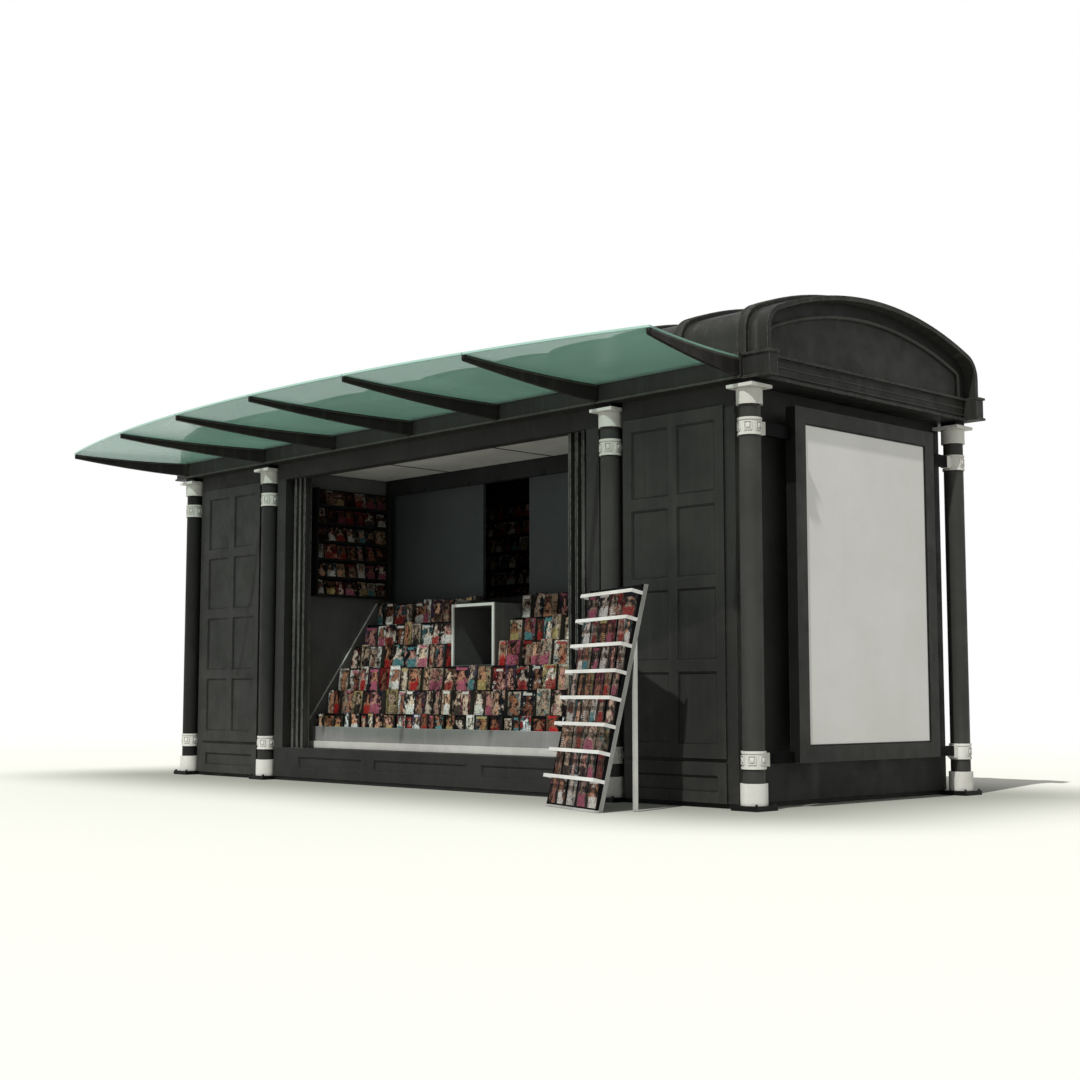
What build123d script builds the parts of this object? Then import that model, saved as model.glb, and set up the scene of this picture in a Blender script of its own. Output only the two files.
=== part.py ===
from build123d import *
import math
import os

# Street kiosk for papers and magazines: a long hut between round columns, with a barrel roof,
# a glass canopy on brackets, an open sales front and a poster panel hung at each end.
# Millimetres. +X runs along the kiosk, -Y is the sales front, +Z is up, and the origin is on the
# ground under the middle of the whole outline.

# Column grid
end_column_x = 2933.0
inner_column_share = 0.6273
column_depth = 2112.0

# Levels
base_height = 28.0
eave_bottom = 2423.0
eave_height = 147.0
lintel_bottom = 2299.0

# Reach of the canopy and the eaves beyond the column rows
canopy_reach = 1411.0
glass_lip = 19.0
eave_out = 95.0
fascia_end_out = 6.0
corner_out = 70.0
corner_end_out = 205.0
rim_out = 171.0
roof_side_out = 43.0

# Columns
plate_side = 186.0
base_top = 149.0
base_diameter = 155.0
shaft_diameter = 127.0
capital_bottom = 2280.0
capital_top = 2375.0
capital_diameter = 152.0
cap_plate_height = 19.0
neck_side = 110.0

# Bands clamped round the shafts, and the ears that carry the poster panels
band_height = 100.0
band_diameter = 134.0
band_lip_height = 14.0
band_lip_out = 4.0
lower_band_bottom = 228.0
upper_band_bottom = 2104.0
band_clearance = 0.3
ear_length = 48.0
ear_width = 46.0
ear_height = 76.0

# Walls
wall_thickness = 100.0
wing_inner_gap = 101.0
wing_outer_gap = 110.0
end_wall_thickness = 60.0
backing_thickness = 40.0
backing_lap = 30.0
leaf_inner_margin = 20.0
leaf_outer_margin = 77.0
leaf_relief = 14.0
leaf_top_gap = 120.0
stile_width = 62.0
mullion_width = 66.0
rail_height = 66.0
panel_rows = 4
panel_columns = 2
panel_bottom = 356.0
panel_row_height = 419.0
panel_depth = 10.0
plinth_groove_bottom = 254.0
plinth_groove_height = 24.0
plinth_panel_bottom = 88.0
plinth_panel_height = 96.0

# Base slab under the walls
base_inset = 12.0
plate_clearance = 2.0

# Sales opening
jamb_width = 110.0
sill_top = 245.0
sill_panel_bottom = 98.0
sill_panel_height = 84.0
sill_middle_panel = 1010.0
sill_panel_gap = 138.0
sill_end_margin = 316.0
track_back_thickness = 20.0
track_rib_width = 22.0
track_rib_depth = 40.0
track_rib_step = 60.0
track_ribs = 3

# Booth behind the opening
booth_side_gap = 89.0
booth_wall_thickness = 30.0
booth_depth = 980.0
ceiling_bottom = 2356.0
ceiling_thickness = 20.0
header_height = 124.0
header_depth = 70.0
screen_thickness = 26.0
screen_gap_left = -412.0
screen_gap_right = 96.0

# Stepped magazine display
display_front_y = 178.0
display_board_thickness = 20.0
display_tray_bottom = 295.0
display_tray_top = 404.0
display_top_z = 1350.0
display_slope_run = 660.0
display_trim_depth = 36.0
deck_thickness = 22.0
cheek_thickness = 20.0
cheek_rise = 26.0
display_rows = 6
first_row_share = 0.095
step_board = 12.0
step_lip_height = 10.0
step_lip_thickness = 4.0
first_tread_drop = 40.0
seam = 0.5

# Pay hatch through the display, standing on one of its steps
hatch_left = -255.0
hatch_right = 201.0
hatch_row = 3
hatch_top = 1293.0
hatch_front_y = 522.0
hatch_wall = 18.0
hatch_frame_width = 20.0
hatch_frame_depth = 12.0

# Magazine racks on the booth sides and the back wall
rack_depth = 92.0
rack_board = 16.0
rack_bottom = 1400.0
rack_top = 2236.0
rack_front_y = 170.0
rack_back_y = 900.0
rack_rows = 6
rack_shelf_depth = 60.0
rear_rack_width = 2200.0
rear_rack_clearance = 9.0

# Eaves
lip_out = 10.0
lip_height = 14.0
corner_block_depth = 86.0
cornice_recess = 80.0
cornice_step = 24.0

# Roof
roof_rise = 457.0
roof_radius = 2800.0
roof_shoulder = 161.0
roof_shell_thickness = 28.0
rib_rise = 24.0
rib_width = 66.0
rib_place_shares = (0.0, 0.2226, 0.4526, 0.634, 0.833, 1.0)
gable_recess = 90.0
gable_thickness = 30.0
gable_clearance = 0.3
gable_arc_inset = 74.0
gable_arc_width = 26.0
gable_arc_rise = 12.0

# Canopy
bracket_thickness = 28.0
bracket_tip_height = 32.0
bracket_place_shares = (-0.994, -0.615, -0.305, 0.0, 0.305, 0.615, 0.994)
bracket_lip_clearance = 1.0
canopy_sag = 11.0
canopy_plan_radius = 11720.0
canopy_fan_share = 1.056
glass_thickness = 12.0
glass_gap = 8.0
glass_clearance = 1.0

# Poster panels
poster_frame_front = 66.0
poster_frame_depth = 70.0
poster_side_gap = 337.0
poster_bottom = 253.0
poster_top = 2312.0
poster_side_bar = 95.0
poster_end_bar = 92.0
poster_recess = 9.0
poster_sheet_thickness = 10.0
arm_thickness = 30.0

# Free-standing magazine rack, turned a little in front of the right wing
stand_turn = -19.14
stand_lean = 13.12
stand_foot_x = 2471.0
stand_foot_out = 766.0
stand_width = 647.0
stand_height = 1254.0
stand_rail_width = 14.0
stand_rail_depth = 24.0
stand_leg_share = 0.186
stand_leg_side = 22.0
stand_bars = 8
stand_first_bar_share = 0.13
stand_last_bar_share = 0.9605
stand_bar_reach = 72.0
stand_bar_height = 20.0
stand_bar_thickness = 4.0
stand_tray_front = 20.0
stand_tray_thickness = 12.0
stand_sheet_thickness = 3.0
stand_cheek_depth = 18.0
stand_ledge_depth = 13.0
stand_ledge_rise = 11.0

overrun = 50.0

# Places worked out from the sizes
inner_column_x = end_column_x * inner_column_share
front_y = (canopy_reach + glass_lip - column_depth - corner_out) / 2
back_y = front_y + column_depth
mid_y = front_y + column_depth / 2
eave_top = eave_bottom + eave_height
roof_crown = eave_top + roof_rise
rim_x = end_column_x + rim_out
fascia_end_x = end_column_x + fascia_end_out
corner_end_x = end_column_x + corner_end_out
end_wall_x = end_column_x - wing_outer_gap
wing_inner_x = inner_column_x + wing_inner_gap
jamb_outer_x = inner_column_x - wing_inner_gap
jamb_inner_x = jamb_outer_x - jamb_width
booth_half_width = jamb_inner_x - booth_side_gap
column_places = [
    (x, y)
    for y in (front_y, back_y)
    for x in (-end_column_x, -inner_column_x, inner_column_x, end_column_x)
]


def block(x_pair, y_pair, z_pair):
    """A box between two planes on each axis, given in either order."""
    low = (min(x_pair), min(y_pair), min(z_pair))
    high = (max(x_pair), max(y_pair), max(z_pair))
    size = [b - a for a, b in zip(low, high)]
    return Pos(*low) * Box(*size, align=(Align.MIN, Align.MIN, Align.MIN))


def post(place, diameter, z_low, z_high):
    """An upright round bar on a column axis."""
    bar = Cylinder(diameter / 2, z_high - z_low, align=(Align.CENTER, Align.CENTER, Align.MIN))
    return Pos(place[0], place[1], z_low) * bar


def pad(place, side, z_low, z_high):
    """A square pad centred on a column axis."""
    half = side / 2
    x, y = place
    return block((x - half, x + half), (y - half, y + half), (z_low, z_high))


def write(name, *solids):
    """Write one named piece, as one solid or as like solids that don't touch."""
    shape = solids[0] if len(solids) == 1 else Compound(children=list(solids))
    export_step(shape, os.path.join("parts", name + ".step"))


def outward(side, distance):
    """A Y place counted outward from a column row: side -1 is the front row, +1 the back row."""
    return mid_y + side * (column_depth / 2 + distance)


# Columns


def band(place, z_low):
    """A clamp band with a lip at each edge; on the end columns it has an ear for the poster panel."""
    x, y = place
    body = post(place, band_diameter, z_low, z_low + band_height)
    for z in (z_low, z_low + band_height - band_lip_height):
        body += post(place, band_diameter + 2 * band_lip_out, z, z + band_lip_height)
    if abs(x) == end_column_x:
        inward = 1 if y < mid_y else -1
        reach = y + inward * (band_diameter / 2 + ear_length)
        z_ear = z_low + (band_height - ear_height) / 2
        body += block((x - ear_width / 2, x + ear_width / 2), (y, reach), (z_ear, z_ear + ear_height))
    bore = shaft_diameter + 2 * band_clearance
    return body - post(place, bore, z_low - overrun, z_low + band_height + overrun)


def make_columns():
    cap_top = capital_top + cap_plate_height
    write("column_base_plates", *[pad(p, plate_side, 0, base_height) for p in column_places])
    write("column_bases", *[post(p, base_diameter, base_height, base_top) for p in column_places])
    write("column_shafts", *[post(p, shaft_diameter, base_top, capital_bottom) for p in column_places])
    write("column_lower_bands", *[band(p, lower_band_bottom) for p in column_places])
    write("column_upper_bands", *[band(p, upper_band_bottom) for p in column_places])
    write("column_capitals", *[post(p, capital_diameter, capital_bottom, capital_top) for p in column_places])
    write("column_cap_plates", *[pad(p, plate_side, capital_top, cap_top) for p in column_places])
    write("column_necks", *[pad(p, neck_side, cap_top, eave_bottom) for p in column_places])


# Base and walls


def make_base():
    half_x = end_wall_x - base_inset
    slab = block((-half_x, half_x), (front_y + base_inset, back_y - base_inset), (0, base_height))
    for place in column_places:
        slab -= pad(place, plate_side + 2 * plate_clearance, -overrun, base_height + overrun)
    write("base_slab", slab)


def pockets(side, x_low, x_high, face_out):
    """The sunk panels of one wing leaf: rows and columns above, and one long panel in the plinth."""
    face = outward(side, face_out + overrun)
    bottom = outward(side, face_out - panel_depth)
    width = (x_high - x_low - 2 * stile_width - (panel_columns - 1) * mullion_width) / panel_columns
    cuts = []
    for row in range(panel_rows):
        z = panel_bottom + row * (panel_row_height + rail_height)
        for column in range(panel_columns):
            x = x_low + stile_width + column * (width + mullion_width)
            cuts.append(block((x, x + width), (face, bottom), (z, z + panel_row_height)))
    plinth_top = plinth_panel_bottom + plinth_panel_height
    plinth_x = (x_low + stile_width, x_high - stile_width)
    cuts.append(block(plinth_x, (face, bottom), (plinth_panel_bottom, plinth_top)))
    return cuts


def wing_wall(side, end):
    """A wing wall between an inner column and the end wall, with a raised panelled leaf."""
    x_pair = (end * wing_inner_x, end * end_wall_x)
    y_pair = (outward(side, 0), outward(side, -wall_thickness))
    wall = block(x_pair, y_pair, (base_height, eave_bottom))
    leaf_x = sorted((end * (wing_inner_x + leaf_inner_margin), end * (end_wall_x - leaf_outer_margin)))
    leaf_y = (outward(side, 0), outward(side, leaf_relief))
    wall += block(leaf_x, leaf_y, (base_height, eave_bottom - leaf_top_gap))
    groove_y = (outward(side, 0), outward(side, leaf_relief + overrun))
    groove_top = plinth_groove_bottom + plinth_groove_height
    wall -= block(leaf_x, groove_y, (plinth_groove_bottom, groove_top))
    for cut in pockets(side, leaf_x[0], leaf_x[1], leaf_relief):
        wall -= cut
    return wall


def make_walls():
    write("left_wing_wall", wing_wall(-1, -1))
    write("right_wing_wall", wing_wall(-1, 1))
    write("back_wing_walls", wing_wall(1, -1), wing_wall(1, 1))

    back_pair = (outward(1, 0), outward(1, -wall_thickness))
    centre = block((-jamb_outer_x, jamb_outer_x), back_pair, (base_height, eave_bottom))
    bay = 2 * jamb_outer_x / 3
    for index in range(3):
        x = -jamb_outer_x + index * bay
        for cut in pockets(1, x, x + bay, 0):
            centre -= cut
    write("back_centre_wall", centre)

    end_y = (front_y + wall_thickness, back_y - wall_thickness)
    for name, end in (("left_end_wall", -1), ("right_end_wall", 1)):
        x_pair = (end * end_wall_x, end * (end_wall_x - end_wall_thickness))
        write(name, block(x_pair, end_y, (base_height, eave_bottom)))

    posts = []
    for side in (-1, 1):
        y_pair = (outward(side, -wall_thickness), outward(side, -wall_thickness - backing_thickness))
        for end in (-1, 1):
            x_pair = (end * (jamb_outer_x - backing_lap), end * (wing_inner_x + backing_lap))
            posts.append(block(x_pair, y_pair, (base_height, eave_bottom)))
    write("column_backing_posts", *posts)


# Sales opening


def make_opening():
    face = outward(-1, 0)
    back = outward(-1, -wall_thickness)
    sill = block((-jamb_outer_x, jamb_outer_x), (face, back), (base_height, sill_top))
    sunk = (face - overrun, face + panel_depth)
    z_pair = (sill_panel_bottom, sill_panel_bottom + sill_panel_height)
    half_middle = sill_middle_panel / 2
    sill -= block((-half_middle, half_middle), sunk, z_pair)
    for end in (-1, 1):
        near = end * (half_middle + sill_panel_gap)
        far = end * (jamb_outer_x - sill_end_margin)
        sill -= block((near, far), sunk, z_pair)
    write("opening_sill", sill)

    jambs = []
    tracks = []
    for end in (-1, 1):
        x_pair = (end * jamb_inner_x, end * jamb_outer_x)
        jambs.append(block(x_pair, (face, back), (sill_top, lintel_bottom)))
        tracks.append(shutter_track(end, back))
    write("opening_jambs", *jambs)
    write("shutter_tracks", *tracks)
    lintel = block((-jamb_outer_x, jamb_outer_x), (face, back), (lintel_bottom, eave_bottom))
    write("opening_lintel", lintel)


def shutter_track(end, back):
    """Guide channel beside the opening: a back strip with upright ribs."""
    reach = (track_ribs - 1) * track_rib_step + track_rib_width + track_rib_step
    plate_y = (back - track_back_thickness, back)
    z_pair = (sill_top, lintel_bottom)
    track = block((end * jamb_inner_x, end * (jamb_inner_x - reach)), plate_y, z_pair)
    rib_y = (back - track_back_thickness - track_rib_depth, back - track_back_thickness)
    for index in range(track_ribs):
        x = jamb_inner_x - track_rib_step - index * track_rib_step
        track += block((end * x, end * (x - track_rib_width)), rib_y, z_pair)
    return track


# Booth, display and racks


def make_booth():
    y_front = front_y + wall_thickness
    y_back = front_y + booth_depth
    walls = []
    for end in (-1, 1):
        x_pair = (end * booth_half_width, end * (booth_half_width + booth_wall_thickness))
        walls.append(block(x_pair, (y_front, y_back), (base_height, ceiling_bottom)))
    write("booth_side_walls", *walls)
    half = booth_half_width + booth_wall_thickness
    ceiling_top = ceiling_bottom + ceiling_thickness
    write("booth_ceiling", block((-half, half), (y_front, y_back), (ceiling_bottom, ceiling_top)))

    header_bottom = ceiling_bottom - header_height
    header_y = (y_back - header_depth, y_back)
    x_pair = (-booth_half_width, booth_half_width)
    write("screen_header", block(x_pair, header_y, (header_bottom, ceiling_bottom)))
    screen_y = (y_back - screen_thickness, y_back)
    screen_z = (display_top_z, header_bottom)
    left = block((-booth_half_width, screen_gap_left), screen_y, screen_z)
    right = block((screen_gap_right, booth_half_width), screen_y, screen_z)
    write("booth_screens", left, right)


def slope_point(share, offset):
    """A (Y, Z) point at a share of the way up the display slope, lifted square to the slope."""
    rise = display_top_z - display_tray_top
    length = math.hypot(display_slope_run, rise)
    y = front_y + display_front_y + share * display_slope_run - offset * rise / length
    z = display_tray_top + share * rise + offset * display_slope_run / length
    return (y, z)


def step_places():
    """Front edge and height of each display step, and of the top shelf after the last one."""
    step_share = (1 - first_row_share) / (display_rows - 1)
    shares = [0] + [first_row_share + row * step_share for row in range(display_rows)]
    return [slope_point(share, 0) for share in shares]


def make_display():
    inner = booth_half_width - cheek_thickness
    tray_y = front_y + display_front_y
    back_y_top = front_y + booth_depth
    write_steps(inner)

    top_y = slope_point(1, 0)[0]
    shelf_z = (display_top_z - deck_thickness, display_top_z)
    shelf_y = (top_y, back_y_top)
    write("display_top_shelf", block((-booth_half_width, booth_half_width), shelf_y, shelf_z))

    tray_pair = (tray_y, tray_y + display_board_thickness)
    tray = block((-inner, inner), tray_pair, (display_tray_bottom, display_tray_top))
    write("display_front", tray)
    trim_y = (tray_y - display_trim_depth / 2, tray_y + display_trim_depth / 2)
    write("display_base_trim", block((-inner, inner), trim_y, (sill_top, display_tray_bottom)))
    deck_y = (front_y + wall_thickness, tray_y + display_slope_run)
    deck_z = (sill_top - deck_thickness, sill_top)
    write("display_deck", block((-booth_half_width, booth_half_width), deck_y, deck_z))

    cheeks = []
    for end in (-1, 1):
        outline = [
            (tray_y - display_trim_depth / 2, sill_top),
            (tray_y - display_trim_depth / 2, display_tray_top + cheek_rise),
            slope_point(1, cheek_rise),
            (slope_point(1, 0)[0], display_top_z - deck_thickness),
            (slope_point(1, 0)[0], sill_top),
        ]
        face = make_face(Polyline(*outline, close=True))
        x = inner if end > 0 else -booth_half_width
        cheeks.append(extrude(Plane.YZ.offset(x) * face, amount=cheek_thickness))
    write("display_cheeks", *cheeks)


def write_steps(inner):
    """Treads with a low lip and the risers between them, parted at the hatch above its foot."""
    steps = step_places()
    whole = [(-inner, inner)]
    parted = [(-inner, hatch_left - seam), (hatch_right + seam, inner)]
    shelf_bottom = display_top_z - deck_thickness
    treads = []
    risers = []
    for row in range(display_rows):
        y, z = steps[row]
        y_next, z_next = steps[row + 1]
        if row == 0:
            y += display_board_thickness
            z -= first_tread_drop
        for run in whole if row <= hatch_row else parted:
            tread = block(run, (y, y_next), (z - step_board, z))
            if row > 0:
                tread += block(run, (y, y + step_lip_thickness), (z, z + step_lip_height))
            treads.append(tread)
        riser_top = min(z_next - step_board, shelf_bottom)
        for run in whole if row < hatch_row else parted:
            risers.append(block(run, (y_next, y_next + step_board), (z - step_board, riser_top)))
    over_hatch = (hatch_left - seam, hatch_right + seam)
    top_y = steps[-1][0]
    risers.append(block(over_hatch, (top_y, top_y + step_board), (hatch_top + seam, shelf_bottom)))
    write("display_ledges", *treads)
    write("display_boards", *risers)


def make_hatch():
    y_low = front_y + hatch_front_y
    y_high = front_y + booth_depth
    hatch_bottom = step_places()[hatch_row][1] + seam
    x_in = (hatch_left + hatch_wall, hatch_right - hatch_wall)
    plates = [
        block((hatch_left, x_in[0]), (y_low, y_high), (hatch_bottom, hatch_top)),
        block((x_in[1], hatch_right), (y_low, y_high), (hatch_bottom, hatch_top)),
    ]
    across = (x_in[0] + seam, x_in[1] - seam)
    plates.append(block(across, (y_low, y_high), (hatch_bottom, hatch_bottom + hatch_wall)))
    plates.append(block(across, (y_low, y_high), (hatch_top - hatch_wall, hatch_top)))
    write("hatch_box", *plates)

    frame_y = (y_low - hatch_frame_depth, y_low)
    z_pair = (hatch_bottom, hatch_top)
    hole_x = (hatch_left + hatch_frame_width, hatch_right - hatch_frame_width)
    bars = [
        block((hatch_left, hole_x[0]), frame_y, z_pair),
        block((hole_x[1], hatch_right), frame_y, z_pair),
    ]
    across = (hole_x[0] + seam, hole_x[1] - seam)
    bars.append(block(across, frame_y, (hatch_top - hatch_frame_width, hatch_top)))
    write("hatch_frame", *bars)


def shelf_levels():
    """Heights of the shelves of the wall racks, evenly stepped from the bottom board."""
    pitch = (rack_top - rack_bottom) / rack_rows
    return [rack_bottom + row * pitch for row in range(rack_rows)]


def make_racks():
    boards = []
    y_pair = (front_y + rack_front_y, front_y + rack_back_y)
    shelf_y = (y_pair[0] + rack_board + seam, y_pair[1] - rack_board - seam)
    for end in (-1, 1):
        wall = end * booth_half_width
        board = wall - end * rack_board
        boards.append(block((wall, board), y_pair, (rack_bottom, rack_top)))
        front = wall - end * rack_depth
        for y in (y_pair[0], y_pair[1] - rack_board):
            boards.append(block((board - end * seam, front), (y, y + rack_board), (rack_bottom, rack_top)))
        for level, z in enumerate(shelf_levels()):
            depth = rack_depth if level == 0 else rack_shelf_depth
            boards.append(block((board - end * seam, wall - end * depth), shelf_y, (z, z + rack_board)))
    write("booth_side_racks", *boards)

    wall_y = back_y - wall_thickness
    board_y = wall_y - rack_board
    rack_left = backing_lap + rear_rack_clearance - jamb_outer_x
    x_pair = (rack_left, rack_left + rear_rack_width)
    boards = [block(x_pair, (board_y, wall_y), (rack_bottom, rack_top))]
    for z in shelf_levels():
        boards.append(block(x_pair, (wall_y - rack_shelf_depth, board_y - seam), (z, z + rack_board)))
    write("rear_rack", *boards)


# Eaves and roof


def corner_block(end, side):
    """The block over an end column, with a thin lip round its top and bottom edges."""
    inner_y = outward(side, corner_out - corner_block_depth)
    body_x = (end * fascia_end_x, end * (corner_end_x - lip_out))
    body = block(body_x, (outward(side, corner_out - lip_out), inner_y), (eave_bottom, eave_top))
    for z in (eave_bottom, eave_top - lip_height):
        lip_x = (end * fascia_end_x, end * corner_end_x)
        body += block(lip_x, (outward(side, corner_out), inner_y), (z, z + lip_height))
    return body


def make_eaves():
    for name, side, out in (("front_fascia", -1, eave_out), ("back_fascia", 1, corner_out)):
        beam_y = (outward(side, out - lip_out), outward(side, -wall_thickness))
        lip_y = (outward(side, out), outward(side, out - lip_out))
        beam = block((-fascia_end_x, fascia_end_x), beam_y, (eave_bottom, eave_top))
        for z in (eave_bottom, eave_top - lip_height):
            beam += block((-fascia_end_x, fascia_end_x), lip_y, (z, z + lip_height))
        write(name, beam)
    write("eave_corner_blocks", *[corner_block(end, side) for end in (-1, 1) for side in (-1, 1)])

    cornices = []
    for end in (-1, 1):
        y_pair = [outward(side, corner_out - corner_block_depth) for side in (-1, 1)]
        face = rim_x - cornice_recess
        cornice = block((end * fascia_end_x, end * face), y_pair, (eave_bottom, eave_top))
        soffit_y = (outward(-1, -wall_thickness), outward(1, -wall_thickness))
        soffit_x = (end * (end_wall_x - end_wall_thickness), end * fascia_end_x)
        cornice += block(soffit_x, soffit_y, (eave_bottom, eave_top))
        top_x = (end * face, end * (face + cornice_step))
        for z in (eave_bottom, eave_top - lip_height):
            cornice += block(top_x, y_pair, (z, z + lip_height))
        cornices.append(cornice)
    write("end_cornices", *cornices)


def arch_face(shrink):
    """The roof section drawn in from the outside of the shell: upright sides, round shoulders, flat arc."""
    half = column_depth / 2 + roof_side_out - shrink
    radius = roof_radius - shrink
    shoulder = roof_shoulder - shrink
    centre_z = roof_crown - roof_radius
    shoulder_y = half - shoulder
    shoulder_z = centre_z + math.sqrt((radius - shoulder) ** 2 - shoulder_y**2)
    lean = math.atan2(shoulder_y, shoulder_z - centre_z)
    joint = (radius * math.sin(lean), centre_z + radius * math.cos(lean))
    turn = (lean + math.pi / 2) / 2
    bend = (shoulder_y + shoulder * math.sin(turn), shoulder_z + shoulder * math.cos(turn))
    outline = [
        Line((-half, eave_top), (-half, shoulder_z)),
        ThreePointArc((-half, shoulder_z), (-bend[0], bend[1]), (-joint[0], joint[1])),
        ThreePointArc((-joint[0], joint[1]), (0, centre_z + radius), joint),
        ThreePointArc(joint, bend, (half, shoulder_z)),
        Line((half, shoulder_z), (half, eave_top)),
        Line((half, eave_top), (-half, eave_top)),
    ]
    return Pos(mid_y, 0) * make_face(outline)


def arch_ring(outer, inner, x_low, x_high):
    """A vaulted strip between two section offsets and two planes across the kiosk."""
    ring = arch_face(outer) - arch_face(inner)
    return extrude(Plane.YZ.offset(x_low) * ring, amount=x_high - x_low)


def make_roof():
    roof = arch_ring(0, roof_shell_thickness, -rim_x, rim_x)
    for share in rib_place_shares:
        for x in {-share * end_column_x, share * end_column_x}:
            roof += arch_ring(-rib_rise, 0, x - rib_width / 2, x + rib_width / 2)
    write("roof_shell", roof)

    gables = []
    for end in (-1, 1):
        face = end * (rim_x - gable_recess)
        x_low = min(face, face - end * gable_thickness)
        outline = arch_face(roof_shell_thickness + gable_clearance)
        panel = extrude(Plane.YZ.offset(x_low) * outline, amount=gable_thickness)
        arc_x = min(face, face + end * gable_arc_rise)
        inset = roof_shell_thickness + gable_arc_inset
        moulding = arch_face(inset) - arch_face(inset + gable_arc_width)
        panel += extrude(Plane.YZ.offset(arc_x) * moulding, amount=gable_arc_rise)
        gables.append(panel)
    write("gable_panels", *gables)


# Canopy

bracket_top = eave_top - lip_height - glass_thickness - 2 * glass_clearance
bracket_root_y = front_y - eave_out + lip_out
bracket_roots = [share * end_column_x for share in bracket_place_shares]


def arc_y(x):
    """The plan arc that the bracket tips stand on."""
    centre = front_y - canopy_reach + canopy_plan_radius
    return centre - math.sqrt(canopy_plan_radius**2 - x**2)


def arm_plane(root_x):
    """The upright plane of one arm, from its root toward its tip, and the arm's length."""
    tip_x = root_x * canopy_fan_share
    run_x = tip_x - root_x
    run_y = arc_y(tip_x) - bracket_root_y
    length = math.hypot(run_x, run_y)
    along = Vector(run_x / length, run_y / length, 0)
    across = Vector(run_y / length, -run_x / length, 0)
    return Plane(origin=(root_x, bracket_root_y, 0), x_dir=along, z_dir=across), length


def sag_arc(length, root_z, tip_z, near, far):
    """A gently sagging arc through an arm's root and tip heights, drawn between two distances."""
    radius = (length / 2) ** 2 / (2 * canopy_sag) + canopy_sag / 2
    slope = (tip_z - root_z) / length

    def point(u):
        dip = radius - canopy_sag - math.sqrt(radius**2 - (u - length / 2) ** 2)
        return (u, root_z + slope * u + dip)

    return ThreePointArc(point(near), point((near + far) / 2), point(far))


def arm_section(length, root_pair, tip_pair, far):
    """The upright section of an arm or a pane between a lower and an upper sagging arc."""
    low = sag_arc(length, root_pair[0], tip_pair[0], -overrun, far)
    high = sag_arc(length, root_pair[1], tip_pair[1], -overrun, far)
    ends = [Line(low @ share, high @ share) for share in (0, 1)]
    return make_face([low, ends[1], high, ends[0]])


def root_cut(root_x, reach):
    """Everything behind the face of the fascia, where an arm or a pane stops."""
    x_pair = (root_x - reach, root_x + reach)
    y_pair = (bracket_root_y, bracket_root_y + 2 * overrun)
    return block(x_pair, y_pair, (eave_bottom - eave_height, eave_top + eave_height))


def bracket(root_x):
    """A tapered arm that sags a little, set against the fascia."""
    plane, length = arm_plane(root_x)
    root_bottom = eave_bottom + lip_height + bracket_lip_clearance
    tip_bottom = bracket_top - bracket_tip_height
    face = arm_section(length, (root_bottom, bracket_top), (tip_bottom, bracket_top), length)
    arm = extrude(plane * face, amount=bracket_thickness / 2, both=True)
    return arm - root_cut(root_x, length)


def pane_end(root_x, shift):
    """The section of a pane along one arm, moved sideways from the middle of the arm."""
    plane, length = arm_plane(root_x)
    low = bracket_top + glass_clearance
    high = low + glass_thickness
    face = arm_section(length, (low, high), (low, high), length + glass_lip + overrun)
    return plane.offset(-shift) * face


def pane(index):
    """One bent sheet of the canopy glass between two arms, its front edge on the plan arc."""
    left, right = bracket_roots[index], bracket_roots[index + 1]
    left_shift = -bracket_thickness / 2 if index == 0 else glass_gap / 2
    right_shift = bracket_thickness / 2 if index == len(bracket_roots) - 2 else -glass_gap / 2
    sheet = loft([pane_end(left, left_shift), pane_end(right, right_shift)], ruled=True)
    centre = front_y - canopy_reach + canopy_plan_radius
    disc = Cylinder(canopy_plan_radius + glass_lip, 2 * eave_height)
    sheet = sheet & (Pos(0, centre, bracket_top) * disc)
    return sheet - root_cut((left + right) / 2, right - left)


def make_canopy():
    write("canopy_brackets", *[bracket(x) for x in bracket_roots])
    write("canopy_glass", *[pane(index) for index in range(len(bracket_roots) - 1)])


# Poster panels


def make_posters():
    frames = []
    sheets = []
    arms = []
    y_pair = (front_y + poster_side_gap, back_y - poster_side_gap)
    z_pair = (poster_bottom, poster_top)
    hole_y = (y_pair[0] + poster_side_bar, y_pair[1] - poster_side_bar)
    hole_z = (poster_bottom + poster_end_bar, poster_top - poster_end_bar)
    for end in (-1, 1):
        front_x = end * (end_column_x + poster_frame_front)
        back_x = front_x - end * poster_frame_depth
        frame_x = (front_x, back_x)
        frames.append(block(frame_x, (y_pair[0], hole_y[0]), z_pair))
        frames.append(block(frame_x, (hole_y[1], y_pair[1]), z_pair))
        across = (hole_y[0] + seam, hole_y[1] - seam)
        frames.append(block(frame_x, across, (poster_bottom, hole_z[0])))
        frames.append(block(frame_x, across, (hole_z[1], poster_top)))
        sheet_x = front_x - end * poster_recess
        sheets.append(block((sheet_x, sheet_x - end * poster_sheet_thickness), hole_y, hole_z))
        for z_low in (lower_band_bottom, upper_band_bottom):
            z = z_low + (band_height - ear_height) / 2
            z_arm = (max(z, poster_bottom), min(z + ear_height, poster_top))
            for row_y, frame_y, inward in ((front_y, y_pair[0], 1), (back_y, y_pair[1], -1)):
                ear_end = row_y + inward * (band_diameter / 2 + ear_length)
                arm_x = (back_x, back_x + end * arm_thickness)
                arms.append(block(arm_x, (ear_end, frame_y), z_arm))
    write("poster_frames", *frames)
    write("poster_sheets", *sheets)
    write("poster_arms", *arms)


# Free-standing rack


def stand_block(x_pair, y_pair, z_pair):
    """A box in the rack's own leaning frame: X from its right side, -Y to its front, Z up the rails."""
    return Rot(X=-stand_lean) * block(x_pair, y_pair, z_pair)


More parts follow.
